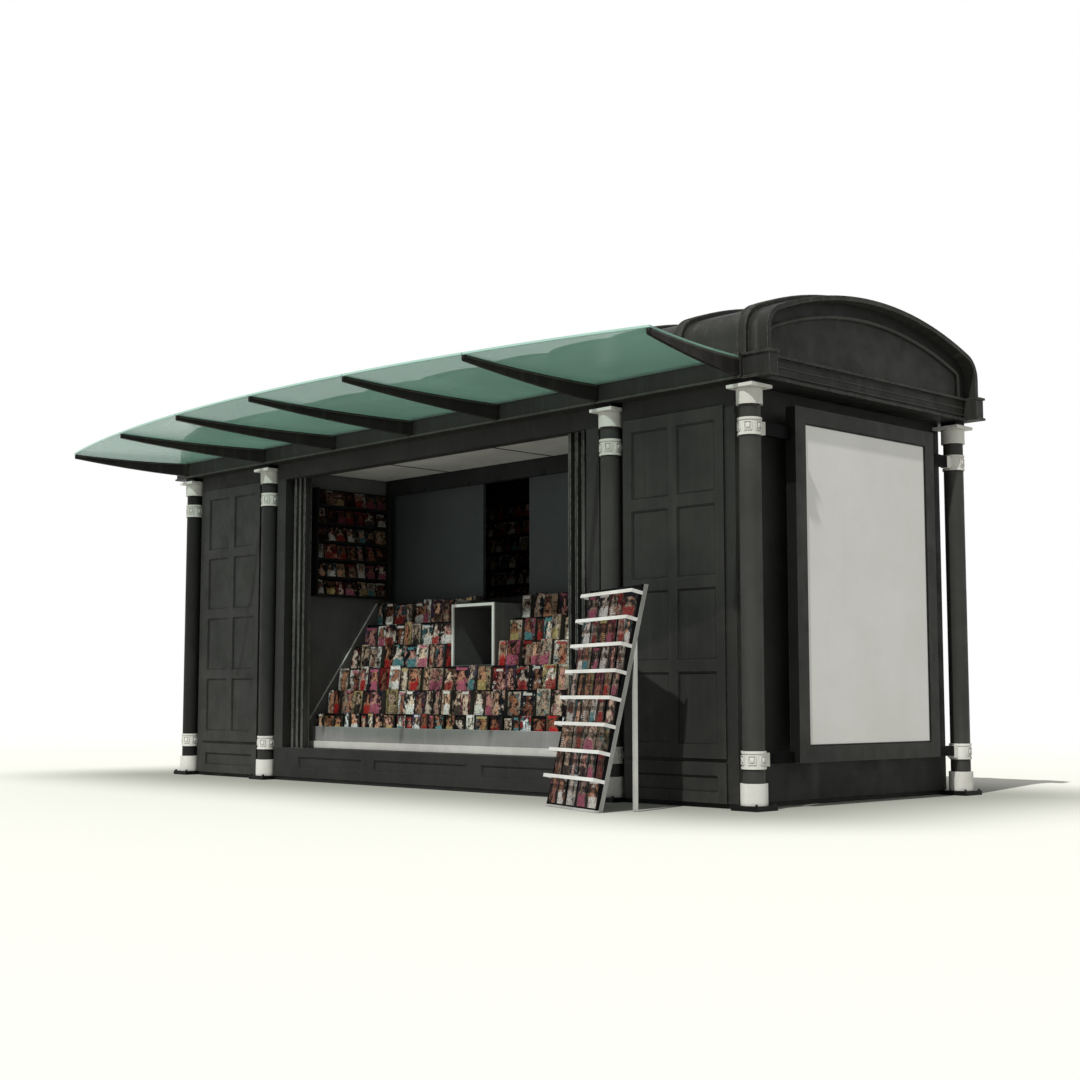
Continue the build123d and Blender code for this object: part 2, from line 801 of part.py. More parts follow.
def bar_levels():
    """Where the retaining bars cross the rails, counted along them."""
    length = stand_height / math.cos(math.radians(stand_lean))
    step = (stand_last_bar_share - stand_first_bar_share) / (stand_bars - 1)
    return [length * (stand_first_bar_share + index * step) for index in range(stand_bars)]


def retaining_bar(level):
    """A flat bar across the front, with a return at each end back to its rail."""
    z_pair = (level - stand_bar_height / 2, level + stand_bar_height / 2)
    outer = stand_block((-stand_width, 0), (-stand_bar_reach, 0), z_pair)
    inner = stand_block(
        (stand_bar_thickness - stand_width, -stand_bar_thickness),
        (stand_bar_thickness - stand_bar_reach, overrun),
        (level - stand_bar_height, level + stand_bar_height),
    )
    return outer - inner


def back_sheet(levels, level_space):
    """The folded sheet behind the magazines: a back, two narrow cheeks and a ledge over each bar."""
    right = -stand_bar_thickness
    left = stand_bar_thickness - stand_width
    top = 2 * stand_height
    sheet = stand_block((left, right), (-stand_sheet_thickness, 0), (-overrun, top))
    for x in (left, right - stand_sheet_thickness):
        sheet += stand_block((x, x + stand_sheet_thickness), (-stand_cheek_depth, 0), (-overrun, top))
    for level in levels[:-1]:
        z_pair = (level + stand_ledge_rise, level + stand_ledge_rise + stand_sheet_thickness)
        sheet += stand_block((left, right), (-stand_ledge_depth, 0), z_pair)
    return sheet & level_space


def make_stand():
    place = Pos(stand_foot_x, front_y - stand_foot_out, 0) * Rot(Z=stand_turn)
    reach = (-stand_height, stand_height)
    x_space = (-stand_width - overrun, overrun)
    level_space = block(x_space, reach, (0, stand_height))
    rail_xs = ((-stand_width, stand_rail_width - stand_width), (-stand_rail_width, 0))
    rails = []
    for x_pair in rail_xs:
        rail = stand_block(x_pair, (0, stand_rail_depth), (-overrun, 2 * stand_height))
        rails.append(place * (rail & level_space))
    write("stand_rails", *rails)

    behind = stand_block(x_space, (-stand_height, stand_rail_depth), (-stand_height, 2 * stand_height))
    leg_y = stand_height * stand_leg_share
    legs = []
    for x in (-stand_width, -stand_leg_side):
        y_pair = (leg_y - stand_leg_side / 2, leg_y + stand_leg_side / 2)
        leg = block((x, x + stand_leg_side), y_pair, (0, stand_height))
        legs.append(place * (leg - behind))
    write("stand_legs", *legs)

    levels = bar_levels()
    write("stand_bars", *[place * retaining_bar(level) for level in levels])
    tray_space = block(x_space, reach, (0, stand_tray_thickness))
    in_front = stand_block((-stand_width, 0), (-stand_height, 0), (-stand_height, stand_height))
    tray = block((-stand_width, 0), (-stand_tray_front, stand_height), (0, stand_tray_thickness))
    write("stand_tray", place * (tray & in_front & tray_space))
    above_tray = block(x_space, reach, (stand_tray_thickness, stand_height))
    write("stand_back", place * back_sheet(levels, above_tray))


os.makedirs("parts", exist_ok=True)
make_columns()
make_base()
make_walls()
make_opening()
make_booth()
make_display()
make_hatch()
make_racks()
make_eaves()
make_roof()
make_canopy()
make_posters()
make_stand()
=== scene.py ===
import math
import random

import bmesh
import bpy
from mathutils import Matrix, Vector


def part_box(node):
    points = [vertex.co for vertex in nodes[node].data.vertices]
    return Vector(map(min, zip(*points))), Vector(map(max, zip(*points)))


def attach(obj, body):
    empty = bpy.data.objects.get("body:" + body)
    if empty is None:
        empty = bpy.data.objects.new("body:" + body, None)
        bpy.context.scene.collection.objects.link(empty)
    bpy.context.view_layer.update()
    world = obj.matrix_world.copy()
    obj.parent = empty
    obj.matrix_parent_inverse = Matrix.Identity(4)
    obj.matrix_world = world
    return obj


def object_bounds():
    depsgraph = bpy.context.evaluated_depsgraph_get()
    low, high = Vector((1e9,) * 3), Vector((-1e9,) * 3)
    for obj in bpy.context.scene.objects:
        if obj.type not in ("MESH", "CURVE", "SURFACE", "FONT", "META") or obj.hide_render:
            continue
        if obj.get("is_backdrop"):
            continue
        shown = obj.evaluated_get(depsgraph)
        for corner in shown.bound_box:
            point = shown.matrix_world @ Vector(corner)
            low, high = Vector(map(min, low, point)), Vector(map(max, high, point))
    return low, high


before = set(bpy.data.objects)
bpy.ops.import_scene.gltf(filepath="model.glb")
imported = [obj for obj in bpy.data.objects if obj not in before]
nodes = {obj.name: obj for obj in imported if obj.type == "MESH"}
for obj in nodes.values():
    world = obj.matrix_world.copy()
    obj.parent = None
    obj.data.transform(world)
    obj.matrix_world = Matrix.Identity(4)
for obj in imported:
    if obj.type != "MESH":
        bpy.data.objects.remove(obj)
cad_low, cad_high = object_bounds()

scene = bpy.context.scene
X, Y, Z = Vector((1.0, 0.0, 0.0)), Vector((0.0, 1.0, 0.0)), Vector((0.0, 0.0, 1.0))

# Sizes of the solids that several sections need, in metres.
FRONT_Y, BACK_Y = -0.376, 1.736
MID_Y = (FRONT_Y + BACK_Y) / 2
COLUMN_X = (-2.933, -1.8399, 1.8399, 2.933)
ROOF_CENTRE_Z, ROOF_RADIUS = 0.227, 2.8
CANOPY_CENTRE_Y, CANOPY_RADIUS, GLASS_LIP = 9.933, 11.72, 0.019

# The air between a small piece and the solid that carries it.
SKIM = 0.0002


def srgb(r, g, b):
    """A display colour, 0 to 255, as the linear colour that shaders take."""
    def lin(c):
        c /= 255
        return c / 12.92 if c <= 0.04045 else ((c + 0.055) / 1.055) ** 2.4
    return (lin(r), lin(g), lin(b), 1.0)


# ---------------------------------------------------------------- camera

cam_data = bpy.data.cameras.new("camera")
cam = bpy.data.objects.new("camera", cam_data)
scene.collection.objects.link(cam)
cam.location = (8.684, -7.512, 0.632)
cam.rotation_euler = (math.radians(95.512), 0.0, math.radians(46.331))
cam_data.sensor_fit = "HORIZONTAL"
cam_data.sensor_width = 36.0
cam_data.lens = 53.94
cam_data.clip_end = 300.0
scene.camera = cam
scene.view_settings.view_transform = "Standard"


# ---------------------------------------------------------------- materials

class Graph:
    """The nodes of a new material, or of a world, with short calls to add them."""

    def __init__(self, owner, out="ShaderNodeOutputMaterial"):
        if isinstance(owner, str):
            owner = bpy.data.materials.new(owner)
        owner.use_nodes = True
        self.owner, self.tree = owner, owner.node_tree
        self.tree.nodes.clear()
        self.out = self.add(out)
        self.co = self.add("ShaderNodeTexCoord").outputs["Object"]

    def add(self, kind, **settings):
        node = self.tree.nodes.new(kind)
        for key, value in settings.items():
            setattr(node, key, value)
        return node

    def put(self, socket, value):
        if isinstance(value, bpy.types.NodeSocket):
            self.tree.links.new(value, socket)
        elif value is not None:
            socket.default_value = value

    def math(self, op, a, b=None, clamp=False):
        node = self.add("ShaderNodeMath", operation=op, use_clamp=clamp)
        for socket, value in zip(node.inputs, (a, b)):
            self.put(socket, value)
        return node.outputs[0]

    def times(self, first, *others):
        for value in others:
            first = self.math("MULTIPLY", first, value)
        return first

    def length(self, a, b):
        """The length of a flat vector."""
        return self.math("SQRT", self.math("ADD", self.times(a, a), self.times(b, b)))

    def apart(self, a, b):
        """How far two values lie apart."""
        return self.math("ABSOLUTE", self.math("SUBTRACT", a, b))

    def seen(self):
        """1 for what the camera sees, straight, mirrored or through glass, and 0 for light."""
        rays = self.add("ShaderNodeLightPath").outputs
        return self.math("MAXIMUM", rays["Is Camera Ray"],
                         self.math("MAXIMUM", rays["Is Glossy Ray"], rays["Is Transmission Ray"]))

    def noise(self, scale, detail=3.0, rough=0.55, stretch=None, co=None, shift=0.0):
        co = co or self.co
        if stretch or shift:
            mapping = self.add("ShaderNodeMapping")
            self.put(mapping.inputs["Vector"], co)
            mapping.inputs["Scale"].default_value = stretch or (1, 1, 1)
            mapping.inputs["Location"].default_value = (shift, shift, shift)
            co = mapping.outputs[0]
        node = self.add("ShaderNodeTexNoise")
        self.put(node.inputs["Vector"], co)
        node.inputs["Scale"].default_value = scale
        node.inputs["Detail"].default_value = detail
        node.inputs["Roughness"].default_value = rough
        return node.outputs["Fac"]

    def ramp(self, value, low, high, out_low=0.0, out_high=1.0):
        node = self.add("ShaderNodeMapRange", interpolation_type="SMOOTHSTEP")
        for key, v in (("Value", value), ("From Min", low), ("From Max", high),
                       ("To Min", out_low), ("To Max", out_high)):
            self.put(node.inputs[key], v)
        return node.outputs[0]

    def mix(self, share, a, b, kind="MIX"):
        node = self.add("ShaderNodeMix", data_type="RGBA", blend_type=kind)
        self.put(node.inputs["Factor"], share)
        self.put(node.inputs[6], a)
        self.put(node.inputs[7], b)
        return node.outputs[2]

    def xyz(self, vector=None):
        node = self.add("ShaderNodeSeparateXYZ")
        self.put(node.inputs[0], vector or self.co)
        return node.outputs

    def normal(self):
        return self.add("ShaderNodeNewGeometry").outputs["Normal"]

    def edges(self, radius):
        """1 along sharp edges within that radius, 0 on flats."""
        bevel = self.add("ShaderNodeBevel", samples=4)
        bevel.inputs["Radius"].default_value = radius
        dot = self.add("ShaderNodeVectorMath", operation="DOT_PRODUCT")
        self.put(dot.inputs[0], bevel.outputs[0])
        self.put(dot.inputs[1], self.normal())
        return self.ramp(dot.outputs["Value"], 0.995, 0.86)

    def crevices(self, reach):
        """1 deep in corners and seams narrower than that reach, 0 in the open."""
        node = self.add("ShaderNodeAmbientOcclusion", samples=6)
        node.inputs["Distance"].default_value = reach
        return self.ramp(node.outputs["AO"], 0.8, 0.3)

    def bump(self, height, strength, distance):
        node = self.add("ShaderNodeBump")
        node.inputs["Strength"].default_value = strength
        node.inputs["Distance"].default_value = distance
        self.put(node.inputs["Height"], height)
        return node.outputs[0]

    def principled(self, **values):
        node = self.add("ShaderNodeBsdfPrincipled")
        for key, value in values.items():
            self.put(node.inputs[key.replace("_", " ")], value)
        return node

    def blend(self, share, first, second):
        """A shader that goes from the first to the second by that share."""
        node = self.add("ShaderNodeMixShader")
        for socket, value in zip(node.inputs, (share, first.outputs[0], second.outputs[0])):
            self.put(socket, value)
        return node

    def attribute(self, name):
        return self.add("ShaderNodeAttribute", attribute_name=name).outputs

    def finish(self, shader):
        self.tree.links.new(shader.outputs[0], self.out.inputs["Surface"])
        return self.owner

    def surface(self, colour, rough, spec, normal=None):
        """Ends a graph that has one plain surface."""
        return self.finish(self.principled(Base_Color=colour, Roughness=rough, Normal=normal,
                                           Specular_IOR_Level=spec))


SOOT_AND_SHADE = (13, 13, 12)


def paint(name, base, pale, deep, soot_and_shade=SOOT_AND_SHADE, rough=0.55, wear_and_highlight=0.6, streak=0.3, spec=0.14,
          dust=0.0, edge=0.006, crevice_shade=0.75, shade=None):
    """Weathered paint in display colours: mottled, streaked and dusty, worn at the edges, which
    also carry a painted highlight, with painted shade in corners and seams, and a fine grain.
    """
    base, pale, deep, soot_and_shade = (srgb(*tint) for tint in (base, pale, deep, soot_and_shade))
    g = Graph(name)
    colour = g.mix(g.ramp(g.noise(2.1, 6.0, 0.62), 0.32, 0.7), deep, base)
    streaks = g.ramp(g.noise(3.2, 5.0, 0.6, stretch=(5.0, 5.0, 0.28)), 0.5, 0.74)
    colour = g.mix(g.times(streaks, streak), colour, pale)
    specks = g.ramp(g.noise(38.0, 4.0, 0.7), 0.6, 0.78)
    colour = g.mix(g.times(specks, 0.35), colour, deep)
    if dust:
        low = g.ramp(g.xyz()[2], 0.55, 0.02)
        cloud = g.ramp(g.noise(6.0, 5.0, 0.65, shift=3.0), 0.35, 0.7)
        colour = g.mix(g.times(low, cloud, dust), colour, pale)
    # The mask mixes toward the dark tint: painted shade on the frame sides, gable rim and left
    # columns, black dirt on the roof's top, a pale rim on the display cheeks.
    if shade:
        colour = g.mix(shade(g), colour, soot_and_shade)
    # Painted shade: occlusion darkens corners and seams toward the dark tint.
    if crevice_shade:
        colour = g.mix(g.times(g.crevices(0.035), crevice_shade), colour, soot_and_shade)
    # Paler along the edges: partly worn paint, partly a painted highlight.
    if wear_and_highlight:
        chips = g.ramp(g.noise(24.0, 5.0, 0.7, shift=9.0), 0.34, 0.6)
        colour = g.mix(g.times(g.edges(edge), chips, wear_and_highlight), colour, pale)
    gloss = g.ramp(g.noise(7.0, 4.0, 0.6, shift=5.0), 0.3, 0.75, rough - 0.1, rough + 0.14)
    grain = g.bump(g.noise(180.0, 2.0, 0.6), 0.22, 0.0012)
    return g.surface(colour, gloss, spec, grain)


def dark_top(g):
    """Soot where a surface faces the sky."""
    return g.ramp(g.xyz(g.normal())[2], 0.62, 0.93, 0.0, 0.8)


def shaded_flanks(g):
    """Painted shade: black on faces that look along the end wall, the sides of the poster frames
    that lie in shadow.
    """
    return g.ramp(g.math("ABSOLUTE", g.xyz(g.normal())[1]), 0.5, 0.8, 0.0, 0.85)


def shaded_gable_rim(g):
    """Painted shade on a gable toward the arch of the roof over it."""
    _, y, z = g.xyz()
    reach = g.length(g.math("SUBTRACT", y, MID_Y), g.math("SUBTRACT", z, ROOF_CENTRE_Z))
    return g.ramp(reach, ROOF_RADIUS - 0.35, ROOF_RADIUS - 0.04, 0.0, 0.65)


def pale_rim(g):
    """The bare pale edge of a sheet that stands square to the front."""
    return g.ramp(g.math("ABSOLUTE", g.xyz(g.normal())[0]), 0.6, 0.3)


def shaded_left_end(g):
    """Painted shade: darker toward the left end, where the columns get less light."""
    return g.ramp(g.xyz()[0], -0.4, -3.0, 0.0, 0.75)


front_paint = paint("front_paint", (54, 54, 51), (84, 84, 78), (45, 45, 43), streak=0.14, dust=0.2,
                    crevice_shade=0.95)
# Darker than the wall so the beads read as the shaded grooves round the sunk fields: painted shade.
shaded_bead_paint = paint("shaded_bead_paint", (37, 37, 35), (76, 76, 71), (29, 29, 28), wear_and_highlight=0.5, streak=0.1,
                   crevice_shade=0.95)
sill_paint = paint("sill_paint", (46, 46, 44), (76, 76, 71), (38, 38, 36), streak=0.1, crevice_shade=0.95)
end_paint = paint("end_paint", (54, 54, 52), (80, 80, 76), (44, 44, 42), streak=0.12, crevice_shade=0.5)
# Darker toward the roof's arch: painted shade.
gable_paint = paint("gable_paint", (57, 57, 55), (82, 82, 78), (47, 47, 45), streak=0.06, crevice_shade=0.5,
                    shade=shaded_gable_rim)
# Broad pale edges make the lips of the eaves read as light lines: painted highlight as well as worn
# paint.
eave_paint = paint("eave_paint", (47, 47, 44), (96, 96, 90), (38, 38, 36), wear_and_highlight=0.85, streak=0.12,
                   edge=0.01)
# Columns darker toward the left end: painted shade.
shaft_paint = paint("shaft_paint", (67, 67, 64), (90, 90, 85), (56, 56, 53), wear_and_highlight=0.3, streak=0.15,
                    shade=shaded_left_end)
roof_paint = paint("roof_paint", (54, 54, 50), (100, 100, 93), (41, 41, 38), wear_and_highlight=0.9, streak=0.3,
                   edge=0.008, shade=dark_top)
bracket_paint = paint("bracket_paint", (44, 40, 38), (76, 75, 70), (34, 31, 30), wear_and_highlight=0.5)
strip_paint = paint("strip_paint", (74, 74, 69), (98, 98, 92), (58, 58, 54), wear_and_highlight=0.5)
booth_paint = paint("booth_paint", (98, 99, 97), (118, 119, 116), (82, 83, 81), wear_and_highlight=0.5,
                    streak=0.15, crevice_shade=0.4)
track_paint = paint("track_paint", (60, 60, 57), (150, 150, 143), (44, 44, 42), wear_and_highlight=1.0,
                    edge=0.008)
black_paint = paint("black_paint", (24, 24, 24), (60, 60, 57), (15, 15, 15), wear_and_highlight=0.4, streak=0.15)
# The frame's sides get painted shade.
frame_paint = paint("frame_paint", (57, 57, 54), (84, 84, 80), (47, 47, 45), streak=0.15,
                    shade=shaded_flanks)
pale_paint = paint("pale_paint", (240, 239, 231), (250, 250, 245), (206, 204, 194),
                   soot_and_shade=(76, 74, 69), wear_and_highlight=0.4, streak=0.2, crevice_shade=0.65)
white_paint = paint("white_paint", (236, 236, 230), (246, 246, 242), (206, 205, 197),
                    soot_and_shade=(112, 110, 104), wear_and_highlight=0.3, streak=0.2, rough=0.42, crevice_shade=0.5)
trim_paint = paint("trim_paint", (216, 216, 208), (232, 232, 226), (190, 189, 181),
                   soot_and_shade=(100, 98, 92), wear_and_highlight=0.3, streak=0.15, rough=0.42, crevice_shade=0.5)
grey_paint = paint("grey_paint", (141, 141, 138), (206, 206, 199), (126, 126, 123),
                   soot_and_shade=(56, 56, 55), wear_and_highlight=0.9, streak=0.08, crevice_shade=0.6)
cheek_paint = paint("cheek_paint", (104, 104, 101), (150, 150, 146), (90, 90, 88),
                    soot_and_shade=(228, 228, 221), wear_and_highlight=0.5, streak=0.06, crevice_shade=0.0, shade=pale_rim)
stand_paint = paint("stand_paint", (212, 212, 205), (232, 232, 226), (176, 176, 169),
                    soot_and_shade=(64, 64, 61), wear_and_highlight=0.4, streak=0.25, rough=0.38)
rail_paint = paint("rail_paint", (150, 150, 144), (196, 196, 190), (120, 120, 114),
                   soot_and_shade=(54, 54, 51), wear_and_highlight=0.6, streak=0.25, rough=0.38)
# Near-black, darker than the black paint: painted shade on the poster arms and the stand's back
# sheet.
shadow_black_paint = paint("shadow_black_paint", (13, 13, 13), (26, 26, 25), (9, 9, 9), wear_and_highlight=0.3, streak=0.1,
                  spec=0.04)
# Near-black display boards, so the gaps between the magazines read as shade: painted shade.
shaded_board_paint = paint("shaded_board_paint", (19, 19, 18), (46, 46, 44), (13, 13, 13), wear_and_highlight=0.4, streak=0.15,
                    spec=0.05)
ceiling_paint = paint("ceiling_paint", (222, 221, 213), (230, 229, 222), (202, 201, 192),
                      soot_and_shade=(120, 119, 112), wear_and_highlight=0.0, streak=0.12, rough=0.7, crevice_shade=0.5)
header_paint = paint("header_paint", (38, 39, 39), (66, 67, 66), (29, 30, 30), wear_and_highlight=0.4, streak=0.1)
hatch_paint = paint("hatch_paint", (100, 100, 98), (124, 124, 120), (86, 86, 84), wear_and_highlight=0.4,
                    crevice_shade=0.4)


SCREEN_RIB = 0.011


def screen_material():
    """Blue-grey sheet with close upright ribs, darker toward the left."""
    g = Graph("screen_sheet")
    x, _, _ = g.xyz()
    mottle = g.ramp(g.noise(1.6, 5.0, 0.6), 0.3, 0.72)
    colour = g.mix(mottle, srgb(60, 65, 65), srgb(72, 78, 78))
    colour = g.mix(g.ramp(x, -0.6, -1.5, 0.0, 0.55), colour, srgb(40, 43, 43))
    specks = g.ramp(g.noise(60.0, 3.0, 0.6), 0.55, 0.75)
    colour = g.mix(g.times(specks, 0.3), colour, srgb(50, 54, 54))
    ribs = g.bump(g.math("SINE", g.times(x, 2 * math.pi / SCREEN_RIB)), 0.35, 0.0015)
    rough = g.ramp(mottle, 0.0, 1.0, 0.5, 0.64)
    return g.surface(colour, rough, 0.2, ribs)


def poster_material():
    """A bare pale sheet under a clear cover, with painted shade toward its edges by the frame and
    soft upright streaks.
    """
    g = Graph("poster_sheet")
    cloud = g.ramp(g.noise(1.3, 6.0, 0.62), 0.3, 0.72)
    colour = g.mix(cloud, srgb(226, 226, 219), srgb(236, 236, 230))
    streaks = g.ramp(g.noise(3.0, 5.0, 0.6, stretch=(4.0, 6.0, 0.3)), 0.52, 0.78)
    colour = g.mix(g.times(streaks, 0.09), colour, srgb(204, 203, 194))
    # Painted shade by occlusion next to the frame.
    colour = g.mix(g.times(g.crevices(0.07), 0.28), colour, srgb(150, 149, 141))
    rough = g.ramp(cloud, 0.0, 1.0, 0.3, 0.42)
    waves = g.bump(g.noise(1.1, 3.0, 0.5), 0.05, 0.01)
    return g.surface(colour, rough, 0.2, waves)


RIM_WIDTH, RIM_BLUR = 0.016, 0.004


def glass_material():
    """Sea-green canopy glass: half clear, half clouded, with a paler ground rim."""
    g = Graph("canopy_glass")
    x, y, _ = g.xyz()
    radius = g.length(x, g.math("SUBTRACT", y, CANOPY_CENTRE_Y))
    rim_at = CANOPY_RADIUS + GLASS_LIP - RIM_WIDTH
    rim = g.ramp(radius, rim_at - RIM_BLUR, rim_at + RIM_BLUR)
    cloud = g.ramp(g.noise(0.9, 2.0, 0.45), 0.3, 0.72)
    colour = g.mix(cloud, srgb(160, 203, 188), srgb(170, 212, 198))
    colour = g.mix(rim, colour, srgb(180, 218, 204))
    clear = g.ramp(cloud, 0.0, 1.0, 0.6, 0.65)
    rough = g.ramp(cloud, 0.0, 1.0, 0.2, 0.34)
    body = g.principled(Base_Color=colour, Roughness=rough, Specular_IOR_Level=0.1,
                        Alpha=g.math("MAXIMUM", clear, rim))
    sun_pass = g.add("ShaderNodeBsdfTransparent")
    sun_pass.inputs["Color"].default_value = (0.74, 0.8, 0.77, 1.0)
    shadow = g.add("ShaderNodeLightPath").outputs["Is Shadow Ray"]
    return g.finish(g.blend(shadow, body, sun_pass))


def cover_material():
    """Generic printed covers: a soft figure and patches on a plain ground, with a few bars."""
    g = Graph("magazine_covers")
    u, v, _ = g.xyz(g.add("ShaderNodeUVMap", uv_map="cover").outputs[0])
    plan = g.attribute("plan")
    split = g.add("ShaderNodeSeparateColor")
    g.put(split.inputs[0], plan["Color"])
    one, two, three = split.outputs
    place = g.add("ShaderNodeCombineXYZ")
    g.put(place.inputs[0], g.math("ADD", u, g.times(one, 40.0)))
    g.put(place.inputs[1], g.math("ADD", g.times(v, 1.4), g.times(two, 40.0)))
    g.put(place.inputs[2], g.times(three, 40.0))
    sway = g.math("SUBTRACT", g.noise(2.6, 2.0, 0.5, co=place.outputs[0]), 0.5)
    fine = g.noise(11.0, 3.0, 0.6, co=place.outputs[0], shift=7.0)

    def share(value, low, high):
        return g.ramp(value, 0.0, 1.0, low, high)

    def patch(scale, low, high, most, shift):
        cloud = g.noise(scale, 2.0, 0.5, co=place.outputs[0], shift=shift)
        return g.ramp(cloud, low, high, 0.0, most)

    accent = g.attribute("accent")["Color"]
    dark = srgb(13, 11, 10)
    tall = g.math("ADD", v, g.times(sway, 0.4))
    side = g.math("ADD", g.math("SUBTRACT", u, share(one, 0.34, 0.66)), g.times(sway, 0.6))
    side = g.math("ABSOLUTE", side)
    half = g.ramp(tall, 0.64, 0.34, share(two, 0.13, 0.25), share(three, 0.24, 0.42))
    inside = g.math("SUBTRACT", half, side)
    figure = g.times(g.ramp(inside, -0.09, 0.09), g.ramp(tall, 0.92, 0.76))
    hair = g.times(g.ramp(inside, -0.2, -0.06), g.ramp(tall, 0.36, 0.55),
                   g.ramp(tall, 0.99, 0.84))
    colour = g.mix(g.ramp(v, 0.75, 0.05, 0.0, 0.45), g.attribute("ground")["Color"], dark)
    colour = g.mix(g.times(hair, 0.9), colour, dark)
    colour = g.mix(figure, colour, g.attribute("figure")["Color"])
    colour = g.mix(patch(2.4, 0.52, 0.68, 0.8, 23.0), colour, g.attribute("figure")["Color"])
    colour = g.mix(patch(3.4, 0.5, 0.66, 0.92, 11.0), colour, dark)
    dress = g.times(figure, g.ramp(tall, 0.46, 0.38), g.math("GREATER_THAN", three, 0.4))
    colour = g.mix(g.times(dress, 0.9), colour, accent)
    colour = g.mix(patch(4.2, 0.58, 0.7, 0.8, 31.0), colour, accent)
    colour = g.mix(g.ramp(fine, 0.56, 0.34, 0.0, 0.75), colour, dark)
    reach = share(two, 0.25, 0.46)
    across = g.math("LESS_THAN", g.apart(u, 0.5), reach)
    head = g.times(g.math("GREATER_THAN", v, 0.85), g.math("LESS_THAN", v, 0.95), across)
    colour = g.mix(g.times(head, g.math("GREATER_THAN", one, 0.6), 0.7), colour, accent)
    rows = g.math("GREATER_THAN", g.math("FRACT", g.times(v, 13.0)), 0.5)
    narrow = g.math("LESS_THAN", g.apart(u, share(one, 0.2, 0.8)), 0.13)
    low = g.math("LESS_THAN", g.apart(v, 0.28), 0.16)
    bars = g.times(rows, narrow, low, g.math("GREATER_THAN", two, 0.5), 0.7)
    colour = g.mix(bars, colour, accent)
    # Page edges grey to near-black, far darker than paper: painted shade on the page edges of the
    # stacks.
    leaves = g.ramp(g.math("SINE", g.times(u, 240.0)), -1.0, 1.0)
    paper = g.mix(leaves, srgb(48, 46, 42), srgb(96, 92, 85))
    colour = g.mix(plan["Alpha"], paper, colour)
    rough = g.ramp(fine, 0.3, 0.7, 0.32, 0.5)
    return g.surface(colour, rough, 0.03)


screen_sheet = screen_material()
poster_sheet = poster_material()
canopy_glass = glass_material()
covers = cover_material()

finishes = {
    front_paint: ["left_wing_wall", "right_wing_wall", "column_backing_posts", "opening_jambs",
                  "opening_lintel"],
    sill_paint: ["opening_sill", "base_slab"],
    end_paint: ["left_end_wall", "right_end_wall", "back_wing_walls", "back_centre_wall"],
    gable_paint: ["gable_panels"],
    eave_paint: ["front_fascia", "back_fascia", "eave_corner_blocks", "end_cornices"],
    shaft_paint: ["column_shafts"],
    roof_paint: ["roof_shell"],
    bracket_paint: ["canopy_brackets"],
    booth_paint: ["booth_side_walls"],
    track_paint: ["shutter_tracks"],
    black_paint: ["rear_rack", "booth_side_racks", "column_base_plates", "column_necks"],
    frame_paint: ["poster_frames"],
    pale_paint: ["column_bases", "column_lower_bands", "column_upper_bands", "column_capitals",
                 "column_cap_plates"],
    white_paint: ["hatch_frame", "stand_bars"],
    trim_paint: ["display_base_trim"],
    grey_paint: ["display_front"],
    cheek_paint: ["display_cheeks"],
    stand_paint: ["stand_legs", "stand_tray"],
    rail_paint: ["stand_rails"],
    shadow_black_paint: ["poster_arms", "stand_back"],
    shaded_board_paint: ["display_boards", "display_ledges", "display_top_shelf", "display_deck"],
    ceiling_paint: ["booth_ceiling"],
    header_paint: ["screen_header"],
    hatch_paint: ["hatch_box"],
    screen_sheet: ["booth_screens"],
    poster_sheet: ["poster_sheets"],
    canopy_glass: ["canopy_glass"],
}
for material, names in finishes.items():
    for name in names:
        mesh = nodes[name].data
        mesh.materials.clear()
        mesh.materials.append(material)


# ---------------------------------------------------------------- mesh helpers

